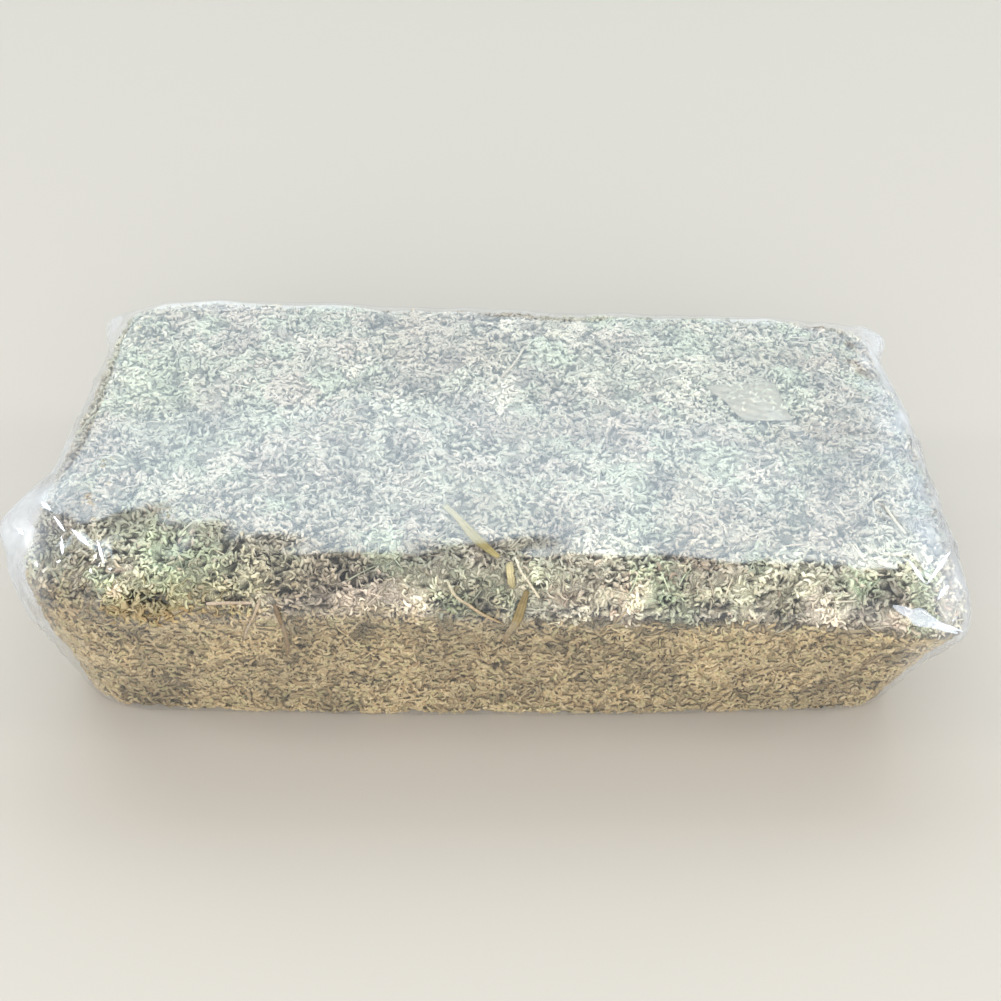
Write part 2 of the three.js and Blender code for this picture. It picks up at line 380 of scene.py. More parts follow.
def make_panel(name, place, target, size, power, colour):
    """A softbox that faces the target."""
    data = bpy.data.lights.new(name, "AREA")
    data.shape = "RECTANGLE"
    data.size, data.size_y = size
    data.energy = power
    data.color = colour
    panel = linked_object(name, data)
    panel.location = place
    away = np.subtract(place, target)
    panel.rotation_euler = (math.atan2(math.hypot(*away[:2]), away[2]), 0, math.atan2(away[0], -away[1]))
    return panel


def make_sky():
    """A pale room. The film's top face mirrors its back wall, and the window in it as haze."""
    world = bpy.data.worlds.new("studio")
    world.use_nodes = True
    tree = world.node_tree
    direction = add_node(tree, "ShaderNodeTexCoord").outputs["Generated"]
    axes = add_node(tree, "ShaderNodeSeparateXYZ", Vector=direction).outputs
    up = axes["Z"]
    aside = math_node(tree, "ABSOLUTE", axes["X"])
    overhead = smooth_range(tree, up, *CEILING_RANGE)
    above_foot = smooth_range(tree, up, *WINDOW_FOOT)
    below_foot = math_node(tree, "SUBTRACT", 1.0, above_foot)
    behind = smooth_range(tree, axes["Y"], *WALL_BEHIND)
    behind = product(tree, behind, smooth_range(tree, aside, *WALL_SIDE))
    window = product(tree, above_foot, smooth_range(tree, up, *WINDOW_HEAD), behind)
    wall = product(tree, smooth_range(tree, up, *WALL_FOOT), below_foot, behind)
    beside = product(tree, smooth_range(tree, aside, *SIDE_ASIDE), smooth_range(tree, up, *SIDE_FOOT))
    lights = [
        (between_values(tree, overhead, 0, 1, HORIZON_LIGHT, CEILING_LIGHT), ROOM_COLOUR),
        (product(tree, wall, WALL_LIGHT), WALL_COLOUR),
        (product(tree, window, WINDOW_LIGHT), WINDOW_COLOUR),
        (product(tree, beside, SIDE_LIGHT), SIDE_WALL_COLOUR),
    ]
    total = None
    for strength, colour in lights:
        light = add_node(tree, "ShaderNodeBackground", Color=colour, Strength=strength).outputs[0]
        total = light if total is None else joined(tree, "ShaderNodeAddShader", total, light)
    tree.links.new(total, tree.nodes["World Output"].inputs["Surface"])
    bpy.context.scene.world = world


def make_studio():
    make_sky()
    for name, place in SIDE_BOXES:
        make_panel(name, place, BALE_MIDDLE, SIDE_SIZE, SIDE_POWER, SIDE_COLOUR)
    for name, *box in UNMIRRORED_BOXES:
        make_panel(name, *box).visible_glossy = False
    corners = [(x * FLOOR_REACH, y * FLOOR_REACH, 0) for x, y in ((-1, -1), (1, -1), (1, 1), (-1, 1))]
    floor = mesh_object("floor", corners, [(0, 1, 2, 3)])
    material, _, _ = new_material("pale_floor", Base_Color=rgba(*FLOOR_TINT), Roughness=0.7)
    floor.data.materials.append(material)
    bpy.context.scene.view_settings.view_transform = "Standard"


# ---- materials


def new_material(name, **inputs):
    """A new material, its node tree and its Principled node with these inputs."""
    material = bpy.data.materials.new(name)
    material.use_nodes = True
    tree = material.node_tree
    surface = tree.nodes["Principled BSDF"]
    feed(tree, surface, inputs)
    return material, tree, surface


def add_node(tree, kind, settings=(), **inputs):
    """A new node with its settings and inputs."""
    node = tree.nodes.new(kind)
    for name, value in dict(settings).items():
        setattr(node, name, value)
    feed(tree, node, inputs)
    return node


def feed(tree, node, inputs):
    """Sets a node's inputs to numbers, colours or the output sockets that feed them."""
    for key, value in inputs.items():
        socket = node.inputs[key.replace("_", " ") if isinstance(key, str) else key]
        if isinstance(value, bpy.types.NodeSocket):
            tree.links.new(value, socket)
        else:
            socket.default_value = value


def math_node(tree, operation, *values):
    """The result of an operation on numbers and output sockets."""
    node = add_node(tree, "ShaderNodeMath", {"operation": operation})
    feed(tree, node, dict(enumerate(values)))
    return node.outputs[0]


def product(tree, *values):
    return functools.reduce(functools.partial(math_node, tree, "MULTIPLY"), values)


def between_values(tree, source, low, high, new_low=0.0, new_high=1.0, kind="LINEAR"):
    """Maps low..high of the source socket to new_low..new_high."""
    ends = {"From_Min": low, "From_Max": high, "To_Min": new_low, "To_Max": new_high}
    node = add_node(tree, "ShaderNodeMapRange", {"interpolation_type": kind}, Value=source, **ends)
    return node.outputs["Result"]


def smooth_range(tree, source, low, high):
    """0 below low, 1 above high and smooth between, from the source socket."""
    return between_values(tree, source, low, high, kind="SMOOTHSTEP")


def joined(tree, kind, first, second, **inputs):
    """Two shaders, added or mixed."""
    node = add_node(tree, kind, **inputs)
    for shader, socket in zip((first, second), node.inputs[-2:], strict=True):
        tree.links.new(shader, socket)
    return node.outputs[0]


CLOUDY_NOISE = {"Detail": 3.0, "Roughness": 0.55}
WORMY_NOISE = {"Detail": 1.5, "Distortion": 1.3}


def object_noise(tree, size, **inputs):
    """Noise with blobs of about size metres, laid out in the object's own space."""
    place = add_node(tree, "ShaderNodeTexCoord").outputs["Object"]
    return add_node(tree, "ShaderNodeTexNoise", Vector=place, Scale=1 / size, **inputs).outputs["Fac"]


def bumped(tree, height, strength, distance):
    """The normal of a bump of this height."""
    bump = add_node(tree, "ShaderNodeBump", Height=height, Strength=strength, Distance=distance)
    return bump.outputs["Normal"]


def colour_surface(tree, surface, strength, normal):
    """Colours the surface in its painted tint times the strength, and gives it the normal."""
    tint = add_node(tree, "ShaderNodeVertexColor", {"layer_name": "tint"}).outputs["Color"]
    scaled = add_node(tree, "ShaderNodeVectorMath", {"operation": "SCALE"}, Scale=strength)
    tree.links.new(tint, scaled.inputs[0])
    feed(tree, surface, {"Base_Color": scaled.outputs[0], "Normal": normal})


def tinted_material(name, roughness, grain, bump, shade):
    """A matt material in the painted tint, mottled and bumped by noise of the grain's size."""
    material, tree, surface = new_material(name, Roughness=roughness, Specular_IOR_Level=0.25)
    mottle = object_noise(tree, grain, **CLOUDY_NOISE)
    shade = between_values(tree, mottle, 0.3, 0.7, *shade)
    colour_surface(tree, surface, shade, bumped(tree, mottle, 0.6, bump))
    return material


def core_material():
    """Dark, tangled moss in its own shadow: worm-like ridges in the painted tint."""
    material, tree, surface = new_material("moss_depth", Roughness=1.0, Specular_IOR_Level=0.1)
    tangle = object_noise(tree, CORE_RIDGE_SIZE, **WORMY_NOISE)
    ridges = math_node(tree, "PINGPONG", tangle, CORE_RIDGE_STEP)
    shade = between_values(tree, ridges, 0.0, 0.06, *CORE_RIDGE_SHADE)
    colour_surface(tree, surface, shade, bumped(tree, ridges, 1.0, CORE_RIDGE_BUMP))
    return material


def crumpled_facets(tree, place, tilt):
    """A height, in metres, that tilts small flat facets of the film by the slope tilt."""
    to_edge = {"feature": "DISTANCE_TO_EDGE"}
    cells = add_node(tree, "ShaderNodeTexVoronoi", to_edge, Vector=place, Scale=1 / FACET_SIZE)
    return product(tree, between_values(tree, cells.outputs["Distance"], 0, 1, 0, FACET_SIZE), tilt)


def film_material(name, kind, crumpled):
    """Clear film: it mirrors on both of its faces, more at a glance, and is faintly milky."""
    least_mirrored, least_milk, roughness, end_roughness = kind
    material, tree, surface = new_material(name)
    tree.nodes.remove(surface)
    place = add_node(tree, "ShaderNodeTexCoord").outputs["Object"]
    along = add_node(tree, "ShaderNodeSeparateXYZ", Vector=place).outputs["X"]
    far = math_node(tree, "ABSOLUTE", along)
    glance = add_node(tree, "ShaderNodeLayerWeight", Blend=0.5)
    steep = math_node(tree, "POWER", glance.outputs["Facing"], GLANCE_POWER)
    mirrored = between_values(tree, steep, 0, 1, least_mirrored, MOST_MIRRORED)
    clear = add_node(tree, "ShaderNodeBsdfTransparent").outputs[0]
    milk = add_node(tree, "ShaderNodeBsdfDiffuse", Color=rgba(*MILK_TINT)).outputs[0]
    bunched = smooth_range(tree, far, *BUNCHED)
    if end_roughness > roughness:
        roughness = between_values(tree, bunched, 0, 1, roughness, end_roughness)
    mirror = add_node(tree, "ShaderNodeBsdfGlossy", Color=MIRROR_COLOUR, Roughness=roughness)
    if crumpled:
        tilt = between_values(tree, smooth_range(tree, far, *CRUMPLED), 0, 1, 0.0, FACET_TILT)
        normal = bumped(tree, crumpled_facets(tree, place, tilt), 1.0, 1.0)
        for node in (glance, mirror):
            feed(tree, node, {"Normal": normal})
    cloudy = object_noise(tree, CLOUD_SIZE, **CLOUDY_NOISE)
    cloudy = between_values(tree, cloudy, 0.35, 0.65, *CLOUDINESS)
    milky = math_node(tree, "MULTIPLY_ADD", bunched, cloudy, least_milk)
    body = joined(tree, "ShaderNodeMixShader", clear, milk, Fac=milky)
    film = joined(tree, "ShaderNodeMixShader", body, mirror.outputs[0], Fac=mirrored)
    tree.links.new(film, tree.nodes["Material Output"].inputs["Surface"])
    return material


# ---- the moss surface


def merged_copy(node):
    """The CAD node's surface as a closed bmesh."""
    surface = bmesh.new()
    surface.from_mesh(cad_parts[node].data)
    bmesh.ops.remove_doubles(surface, verts=surface.verts, dist=1e-6)
    return surface


def vertices_and_faces(surface):
    """A bmesh's places and faces."""
    return np.array([v.co for v in surface.verts]), [[v.index for v in f.verts] for f in surface.faces]


def debris_tree():
    """The loose grass and stems of the CAD model, for distances to them. The leaf lies among strands."""
    places, faces = [], []
    for name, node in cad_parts.items():
        if name not in ("moss_block", "film_bag", "leaf_scrap_back"):
            faces += [[i + len(places) for i in f.vertices] for f in node.data.polygons]
            places += [v.co.copy() for v in node.data.vertices]
    return BVHTree.FromPolygons(places, faces)


DEBRIS = debris_tree()


def debris_gaps(points):
    """How far each point is from the nearest grass or stem, up to 20 mm."""
    gaps = np.full(len(points), 20 * MM)
    for i, point in enumerate(points.tolist()):
        gap = DEBRIS.find_nearest(point, 20 * MM)[3]
        if gap is not None:
            gaps[i] = gap
    return gaps


class Clumps:
    """Patches of moss that grew together, each with its own tint and curl, and the hollows between."""

    def __init__(self, places, random):
        self.centres = places[random.choice(len(places), CLUMP_COUNT, replace=False)]
        self.draws = random.random(CLUMP_COUNT)
        self.lights = np.clip(random.normal(0, CLUMP_LIGHT_SPREAD, CLUMP_COUNT), *CLUMP_LIGHTS)
        self.tints = picked(random.random(CLUMP_COUNT), CLUMP_TINTS)
        self.curls = random.choice(CLUMP_CURLS, CLUMP_COUNT)
        self.tree = kd_tree(self.centres)

    def find(self, points):
        """Each point's clump, how far inside it the point is, and how much of a hollow is there."""
        size, reach = CLUMP_WANDER
        wander = np.stack([value_noise(points, size, 50 + k) for k in range(3)], 1) * reach
        found = [self.tree.find_n(point, 2) for point in (points + wander).tolist()]
        own = np.array([first[1] for first, _ in found])
        other = np.array([second[1] for _, second in found])
        inside = np.array([second[2] - first[2] for first, second in found])
        draws = (self.draws[own] + self.draws[other]) % 1
        hollow = (1 - smoothstep(0.0, CLUMP_EDGE, inside)) * smoothstep(1 - HOLLOW_SHARE, 1.0, draws)
        hollow *= smoothstep(-0.5, 0.3, value_noise(points, 7 * MM, 54))
        return own, inside, hollow

    def headings(self, moss, places, random):
        """Random directions, turned round the middle of each strand's clump."""
        own = self.find(places)[0]
        round_middle = unit(np.cross(moss.nearest(places)[1], places - self.centres[own]))
        return unit(random.normal(size=places.shape)) + round_middle * self.curls[own][:, None]


def crown_height(places, sample):
    """Heights of one gently crowned surface, fitted to the sample of the places."""
    x, y = (places[:, :2] / 0.2).T
    terms = np.stack([np.ones(len(x)), x, x**2, y, y**2], axis=1)
    return terms @ np.linalg.lstsq(terms[sample], places[sample, 2], rcond=None)[0]


def sloped(places):
    """Lowers the front of the top, which slopes away from an uneven line along the bale."""
    places = places.copy()
    plan = places * (1, 1, 0)
    start = np.interp(places[:, 0], mm(SLOPE_ALONG), mm(SLOPE_FROM))
    start += sum(height * MM * value_noise(plan, size * MM, 21 + size) for size, height in SLOPE_WANDER)
    past = np.maximum(start - places[:, 1], 0)
    bend = np.where(past < SLOPE_BEND, past**2 / (2 * SLOPE_BEND), past - SLOPE_BEND / 2)
    places[:, 2] -= SLOPE * bend * smoothstep(30 * MM, 80 * MM, places[:, 2])
    return places


class MossSurface:
    """The lumpy surface of the pressed moss, and where places near it lie on it."""

    def __init__(self, random):
        block = merged_copy("moss_block")
        thing = mesh_object("block", *vertices_and_faces(block))
        block.free()
        division = thing.modifiers.new("division", "SUBSURF")
        division.subdivision_type = "SIMPLE"
        division.levels = 2
        bpy.context.view_layer.update()
        mesh = bpy.data.meshes.new_from_object(thing.evaluated_get(bpy.context.evaluated_depsgraph_get()))
        bpy.data.objects.remove(thing)
        places = places_of(mesh)
        on_top = normals_of(mesh)[:, 2] > 0.9
        inward = 1 - np.abs((places - places.mean(0)) / np.ptp(places, axis=0) * 2)[:, :2].max(1)
        flat = TOP_LEVELLED * smoothstep(*TOP_INWARD, inward) * on_top
        places[:, 2] += flat * (crown_height(places, on_top & (inward > 0.15)) - places[:, 2])
        places = sloped(places)
        self.clumps = Clumps(places, random)
        places = drawn_out(places, MOSS_CORNERS, MOSS_SHARPNESS)
        calm = smoothstep(*CALM_GAPS, debris_gaps(places))
        rise = sum(height * value_noise(places, size, 11 + i) for i, (size, height) in enumerate(LUMPS))
        _, inside, hollow = self.clumps.find(places)
        rise += CLUMP_DOME * (smoothstep(0, 8 * MM, inside) - 0.5) - HOLLOW_DEPTH * hollow
        rise = calm * np.minimum(rise, HIGHEST_LUMP)
        rise += RIM_BULGE * smoothstep(*RIM_HEIGHTS, places[:, 2])
        places += normals_of(mesh) * rise[:, None]
        mesh.vertices.foreach_set("co", places.ravel())
        mesh.update()
        self.places = places
        self.normals = normals_of(mesh)
        self.faces = np.array([f.vertices for f in mesh.polygons])
        self.tree = BVHTree.FromPolygons(self.places.tolist(), self.faces.tolist())
        self.add_pits(places, random)

    def add_pits(self, places, random):
        """Chooses the places of the pits, which come in groups and are rarer on the pressed front."""
        grouped = PITS_APART + smoothstep(-0.2, 0.6, value_noise(places, PIT_GROUP_SIZE, 71))
        grouped *= 1 - PITS_LACKING * tan_shares(places)
        chosen = random.choice(len(places), PIT_COUNT, replace=False, p=grouped / grouped.sum())
        self.pit_reach = random.uniform(*PIT_REACH, PIT_COUNT)
        self.pits = kd_tree(places[chosen])

    def in_pits(self, points):
        """How far inside a pit each point is, from 0 to 1."""
        found = [self.pits.find(point) for point in points.tolist()]
        gaps = np.array([gap for _, _, gap in found])
        reach = self.pit_reach[[index for _, index, _ in found]]
        return 1 - smoothstep(0.35, 1.0, gaps / reach)

    def nearest(self, points):
        """The nearest places on the surface, and the smooth outward directions there."""
        places = np.empty((len(points), 3))
        corners = np.empty((len(points), self.faces.shape[1]), int)
        for i, point in enumerate(points.tolist()):
            place, _, face, _ = self.tree.find_nearest(point)
            places[i] = place
            corners[i] = self.faces[face]
        gaps = np.linalg.norm(self.places[corners] - places[:, None], axis=-1)
        weights = 1 / (gaps + 1e-5)
        normals = (self.normals[corners] * weights[..., None]).sum(1)
        return places, unit(normals)


# ---- moss colours

# Tints of dried sphagnum: how common each is, then its sRGB colour. The pale moss and the tan moss:
PALE_TINTS = [
    (0.27, 224, 217, 194),
    (0.20, 206, 202, 178),
    (0.16, 232, 227, 211),
    (0.14, 190, 192, 166),
    (0.11, 176, 162, 138),
    (0.07, 134, 118, 98),
    (0.05, 194, 166, 144),
]
# The tan tints hold painted shade and warm reflected light as well as the moss's own colour.
TAN_TINTS = [
    (0.32, 183, 164, 127),
    (0.24, 190, 173, 137),
    (0.20, 175, 154, 116),
    (0.16, 178, 166, 125),
    (0.08, 160, 138, 103),
]
# The clumps' own tints, by how common each is.
CLUMP_TINTS = [
    (0.30, 216, 208, 184),
    (0.22, 190, 190, 164),
    (0.15, 178, 190, 158),
    (0.15, 198, 181, 160),
    (0.11, 164, 150, 128),
    (0.07, 126, 113, 96),
]
CLUMP_TINT_SHARE = 0.6
# How much brighter or darker whole clumps are, and how much of that and of their tint the tan moss takes.
CLUMP_CONTRAST = 1.35
TAN_CONTRAST = 0.5
TAN_CLUMPS = 0.4
# Where the flat top begins, the tint that its strands share, and how much they share it.
TOP_FROM_FRONT = (-90 * MM, -62 * MM)
TOP_TINT = linear(206, 205, 197)
TOP_EVENNESS = 0.7
# Painted light on the pale moss: how bright it is at places from the front to the back.
PAINTED_LIGHT_FROM_FRONT = (-80 * MM, -62 * MM, 0.0, 25 * MM)
PAINTED_LIGHT_SHARES = (1.12, 0.9, 0.9, 1.0)
# Broad patches in which the moss is browner, greener or darker: size, where the noise begins and is
# full, how much, and the colour.
MOSS_PATCHES = [
    (44 * MM, (0.05, 0.6), 0.40, linear(186, 196, 168)),
    (30 * MM, (0.10, 0.6), 0.50, linear(170, 148, 124)),
    (24 * MM, (0.10, 0.5), 0.45, linear(204, 188, 177)),
    (15 * MM, (0.25, 0.7), 0.40, linear(110, 105, 94)),
]
PATCH_SPECKLE = 0.08
# Green patches, as place, reach and how much, their colour, and the share of strands that take it.
MINT = linear(190, 210, 174)
MINT_STRANDS = 0.85
MINT_PATCHES = [
    ((-128 * MM, -80 * MM, 91 * MM), 24 * MM, 0.55),
    ((157 * MM, -92 * MM, 81 * MM), 8 * MM, 0.8),
    ((76 * MM, -95 * MM, 81 * MM), 6 * MM, 0.8),
    ((-153 * MM, 27 * MM, 94 * MM), 18 * MM, 0.35),
]
# Painted shade along the ridge, on the right, where the film creases: how much darker the moss is.
RIDGE_PAINTED_SHADE = 0.72
# Below this height, given at places along the bale, the moss is tan. The change is sharper on the right.
# The tan is partly the moss's own colour, and partly painted shade and warm reflected light on the
# underside.
TAN_ALONG = (-200 * MM, -140 * MM, 0.0, 110 * MM, 200 * MM)
TAN_BELOW = (80 * MM, 81 * MM, 73 * MM, 67 * MM, 62 * MM)
TAN_SOFTNESS = (6 * MM, 6 * MM, 3.5 * MM, 1.8 * MM, 1.8 * MM)
TAN_LOWER_BEHIND = 10 * MM
# The corner of the block, drawn out towards the bag's corner: from, to and how far round, in mm.
MOSS_CORNERS = [((190, -94, 66), (197, -98, 64), 26)]
MOSS_SHARPNESS = 1.5
# From where the front of the top slopes away, in mm: y at places along the bale, how far the line
# wanders, as size and reach, how soon the slope is full, and the slope.
SLOPE_ALONG = (-200, -168, -156, -139, -118, -98, -77, -60, -35, -14, 2, 19, 48, 90, 132, 160, 190)
SLOPE_FROM = (-58, -60, -57, -51, -60, -71, -77, -79, -76, -74, -71, -77, -79, -81, -83, -86, -84)
SLOPE_WANDER = [(24, 7.0), (11, 4.0)]
SLOPE_BEND = 8 * MM
SLOPE = 0.17


def picked(draws, tints):
    """One tint for each draw from 0 to 1."""
    shares, *channels = np.array(tints).T
    limits = np.cumsum(shares)
    index = np.minimum(np.searchsorted(limits / limits[-1], draws), len(tints) - 1)
    return linear(*channels).T[index]


def tan_shares(places):
    """How tan the moss is at each place, from 0 to 1."""
    ridge = np.interp(places[:, 0], TAN_ALONG, TAN_BELOW)
    ridge -= TAN_LOWER_BEHIND * smoothstep(50 * MM, 95 * MM, places[:, 1])
    softness = np.interp(places[:, 0], TAN_ALONG, TAN_SOFTNESS)
    depth = ridge - places[:, 2] + 0.7 * softness * value_noise(places, 18 * MM, 6)
    return smoothstep(-1.0, 1.0, depth / softness)


def variety_at(places):
    """How much the moss varies: less under the film's tight top than at the front."""
    return np.interp(places[..., 1], TOP_FROM_FRONT, (1.0, 0.6))


def moss_tints(moss, places, random):
    """A colour at each place: pale above the ridge and tan below, by clump, and painted shade in hollows.
    """
    count = len(places)
    own, _, hollow = moss.clumps.find(places)
    clump = moss.clumps.tints[own]
    variety = variety_at(places)
    uneven = CLUMP_CONTRAST * variety**2 * moss.clumps.lights[own]
    pale = picked(random.random(count), PALE_TINTS)
    even = np.interp(places[:, 1], TOP_FROM_FRONT, (0.0, TOP_EVENNESS))
    pale += even[:, None] * (TOP_TINT - pale)
    pale += (CLUMP_TINT_SHARE * variety**0.5)[:, None] * (clump - pale)
    for i, (size, reach, most, tint) in enumerate(MOSS_PATCHES):
        noise = value_noise(places, size, 5 + i) + random.normal(0, PATCH_SPECKLE, count)
        share = most * variety * smoothstep(*reach, noise)
        pale += share[:, None] * (tint - pale)
    for place, reach, most in MINT_PATCHES:
        gap = norms(places - place) / reach
        share = most * np.exp(-(gap**2)) * (random.random(count) < MINT_STRANDS)
        pale += share[:, None] * (MINT - pale)
    # Painted light: the pale moss is brighter on the front shoulder and at the back than across the top.
    pale *= ((1 + uneven) * np.interp(places[:, 1], PAINTED_LIGHT_FROM_FRONT, PAINTED_LIGHT_SHARES))[:, None]
    tan = picked(random.random(count), TAN_TINTS)
    tan *= (clump.mean(1, keepdims=True) / linear(*CLUMP_TINTS[1][1:]).mean()) ** TAN_CLUMPS
    tan *= (1 + TAN_CONTRAST * uneven)[:, None]
    tan_share = tan_shares(places)
    # Painted shade along the ridge, where the film creases over the underside.
    ridge_shade = RIDGE_PAINTED_SHADE * 4 * tan_share * (1 - tan_share) * smoothstep(0, 60 * MM, places[:, 0])
    brightness = (1 - HOLLOW_PAINTED_SHADE * hollow) * (1 - ridge_shade)
    tan_share = tan_share[:, None]
    return (pale * (1 - tan_share) + tan * tan_share) * brightness[:, None]


# ---- strands


def spread_places(moss, count, random):
    """Places spread over the moss by area, few of them underneath except at the rim."""
    corners = moss.places[moss.faces]
    outward = np.cross(corners[:, 2] - corners[:, 0], corners[:, 3] - corners[:, 1]) / 2
    area = norms(outward)
    middle = corners.mean(1)
    underneath = outward[:, 2] < -0.7 * area
    rim_tree = kd_tree(middle[~underneath & (middle[:, 2] < 7 * MM)])
    inland = underneath.copy()
    for i in np.flatnonzero(underneath):
        inland[i] = rim_tree.find(middle[i])[2] > 8 * MM
    weights = area * np.where(inland, UNDERSIDE_SHARE, 1.0)
    face = random.choice(len(area), count, p=weights / weights.sum())
    u, v = random.random((2, count, 1))
    a, b, c, d = np.moveaxis(corners[face], 1, 0)
    return (a * (1 - u) + b * u) * (1 - v) + (d * (1 - u) + c * u) * v


def strand_group(random, kind, starts, headings, bend, sharing=1):
    """Strands of a kind. bend draws their turn and swing, and sharing neighbours are equally bright."""
    count = len(starts)
    step, base, wave, thick, brightness = STRAND_LIMITS[kind]
    group = {"starts": starts, "headings": headings, "step": random.uniform(*step, count) * MM}
    group["turn"], group["swing"] = bend()
    for name, limits in (("base", base), ("wave", wave), ("thick", thick)):
        group[name] = random.uniform(*limits, count) * MM
    group["brightness"] = np.repeat(random.uniform(*brightness, count // sharing), sharing)
    return group


def curled_strands(moss, random):
    """Single branches: most curl one way, and some wind to and fro."""
    n = CURL_COUNT
    hook = random.choice([-1, 1], n) * random.uniform(*CURL_TURN, n)
    winding = random.random(n) < WINDING_SHARE
    starts = spread_places(moss, n, random)
    headings = moss.clumps.headings(moss, starts, random)

    def bend():
        turn = np.where(winding, random.normal(0, 0.12, n), hook)
        return turn, np.where(winding, random.uniform(*WINDING_SWING, n), random.normal(0, 0.25, n))

    return strand_group(random, "curl", starts, headings, bend)


def lower_strands(moss, random):
    """Thick, shaded strands that lie under the others and close the gaps between them."""
    n = FILLER_COUNT
    starts = spread_places(moss, n, random)
    headings = random.normal(size=(n, 3))

    def bend():
        return random.choice([-1, 1], n) * random.uniform(*FILLER_TURN, n), random.normal(0, 0.3, n)

    return strand_group(random, "filler", starts, headings, bend)


def straight_stems(moss, random):
    """Long thin stems that lie nearly straight among the curls."""
    n = STEM_COUNT
    starts = spread_places(moss, n, random)
    headings = random.normal(size=(n, 3))

    def bend():
        return random.normal(0, STEM_TURN, n), random.normal(0, STEM_SWING, n)

    return strand_group(random, "stem", starts, headings, bend)


def tufted_heads(moss, random):
    """The heads of the moss plants: short branches that curl out from one place."""
    places, normals = moss.nearest(spread_places(moss, TUFT_COUNT, random))
    across = unit(np.cross(normals, random.normal(size=(TUFT_COUNT, 3))))
    along = np.cross(normals, across)
    fan = 2 * math.pi * (np.arange(TUFT_STRANDS) + random.uniform(-0.3, 0.3, (TUFT_COUNT, TUFT_STRANDS)))
    fan = (fan / TUFT_STRANDS)[..., None]
    headings = np.cos(fan) * across[:, None] + np.sin(fan) * along[:, None]
    starts = (places[:, None] + headings * 0.7 * MM).reshape(-1, 3)
    n = len(starts)
    twist = np.repeat(random.choice([-1, 1], TUFT_COUNT), TUFT_STRANDS)

    def bend():
        return twist * random.uniform(*TUFT_TURN, n), random.normal(0, 0.15, n)

    return strand_group(random, "tuft", starts, headings.reshape(-1, 3), bend, TUFT_STRANDS)


def strand_walks(moss, strands, random):
    """Each strand's ring places and outward directions: a curling walk over the moss."""
    place, normal = moss.nearest(strands.starts)
    heading = unit(strands.headings - normal * (strands.headings * normal).sum(1, keepdims=True))
    phase = random.uniform(0, 2 * math.pi, len(place))
    places, normals = [place], [normal]
    for k in range(1, STATIONS):
        angle = strands.turn + strands.swing * np.sin(phase + 0.95 * k)
        side = np.cross(normal, heading)
        heading = unit(heading * np.cos(angle)[:, None] + side * np.sin(angle)[:, None])
        place, normal = moss.nearest(place + heading * strands.step[:, None])
        heading = unit(heading - normal * (heading * normal).sum(1, keepdims=True))
        places.append(place)
        normals.append(normal)
    return np.stack(places, 1), np.stack(normals, 1)


def strand_heights(strands, places, pressed, random):
    """How high each ring lies over the moss: strands weave over and under each other."""
    count = len(places)
    along = np.arange(STATIONS) / (STATIONS - 1)
    phase = random.uniform(0, 2 * math.pi, (count, 1))
    turns = random.uniform(0.5, 1.0, (count, 1))
    heights = strands.base[:, None] + strands.wave[:, None] * np.sin(phase + 2 * math.pi * along * turns)
    rooted = random.uniform(*ROOT_DEPTH, (count, 1)) * (1 - smoothstep(0, 0.3, along))
    heights = np.minimum(heights - rooted, STRAND_HIGHEST)
    heights *= 1 - PRESSED_RELIEF * pressed[:, None]
    gaps = debris_gaps(places.reshape(-1, 3)).reshape(count, STATIONS)
    highest = UNDER_DEBRIS + BESIDE_DEBRIS * smoothstep(0.6, 2.0, gaps / DEBRIS_CLEARANCE)
    return np.minimum(heights, highest)


def strand_tubes(centres, normals, radii, random):
    """Each strand's vertices: its first end, the rings from there, and its last end."""
    count = len(centres)
    along = unit(np.gradient(centres, axis=1))
    side = unit(np.cross(along, normals))
    up = np.cross(side, along)
    roll = random.uniform(0, 2 * math.pi, (count, 1, 1))
    angles = roll + 2 * math.pi * np.arange(STRAND_SIDES) / STRAND_SIDES
    spread = np.cos(angles)[..., None] * side[:, :, None] + np.sin(angles)[..., None] * up[:, :, None]
    rings = centres[:, :, None] + spread * radii[:, :, None, None]
    rings = rings[:, 1:-1].reshape(count, -1, 3)
    tubes = np.concatenate([centres[:, :1], rings, centres[:, -1:]], axis=1)
    tubes[..., 2] = np.maximum(tubes[..., 2], STRAND_LOWEST)
    return tubes


def tube_faces(count):
    """The faces of count strands, with vertices in the order of strand_tubes."""
    ring = np.arange(STRAND_SIDES)
    after = (ring + 1) % STRAND_SIDES
    rows = 1 + np.arange(STATIONS - 3)[:, None] * STRAND_SIDES
    quads = [rows + ring, rows + after, rows + STRAND_SIDES + after, rows + STRAND_SIDES + ring]
    last_ring = 1 + (STATIONS - 3) * STRAND_SIDES
    first_end = np.stack([0 * ring, 1 + after, 1 + ring], -1)
    last_end = np.stack([last_ring + ring, last_ring + after, 0 * ring + last_ring + STRAND_SIDES], -1)
    starts = np.arange(count)[:, None, None] * STRAND_VERTICES
    faces = (np.stack(quads, -1).reshape(1, -1, 4) + starts).reshape(-1, 4).tolist()
    return faces + (np.concatenate([first_end, last_end]) + starts).reshape(-1, 3).tolist()


def painted_piece(name, node, places, faces, colours, material):
    """A piece in its own tints that stands for the CAD node."""
    piece = mesh_object(name, places, faces)
    paint(piece, colours)
    piece.data.materials.append(material)
    stand_for(piece, node)


def make_core(moss, random):
    """The inside of the moss, which shows between the strands."""
    pits = moss.in_pits(moss.places)
    # Painted shade in the pits.
    pit_shade = 1 - CORE_PIT_PAINTED_SHADE * variety_at(moss.places) * pits
    # The core takes the moss's colours a little darker, as painted shade under the strands.
    colours = 0.92 * moss_tints(moss, moss.places, random) * pit_shade[:, None]
    depth = CORE_DEPTH + PIT_DEPTH * pits
    places = moss.places - moss.normals * depth[:, None]
    painted_piece("moss_core", "moss_block", places, moss.faces.tolist(), colours, core_material())


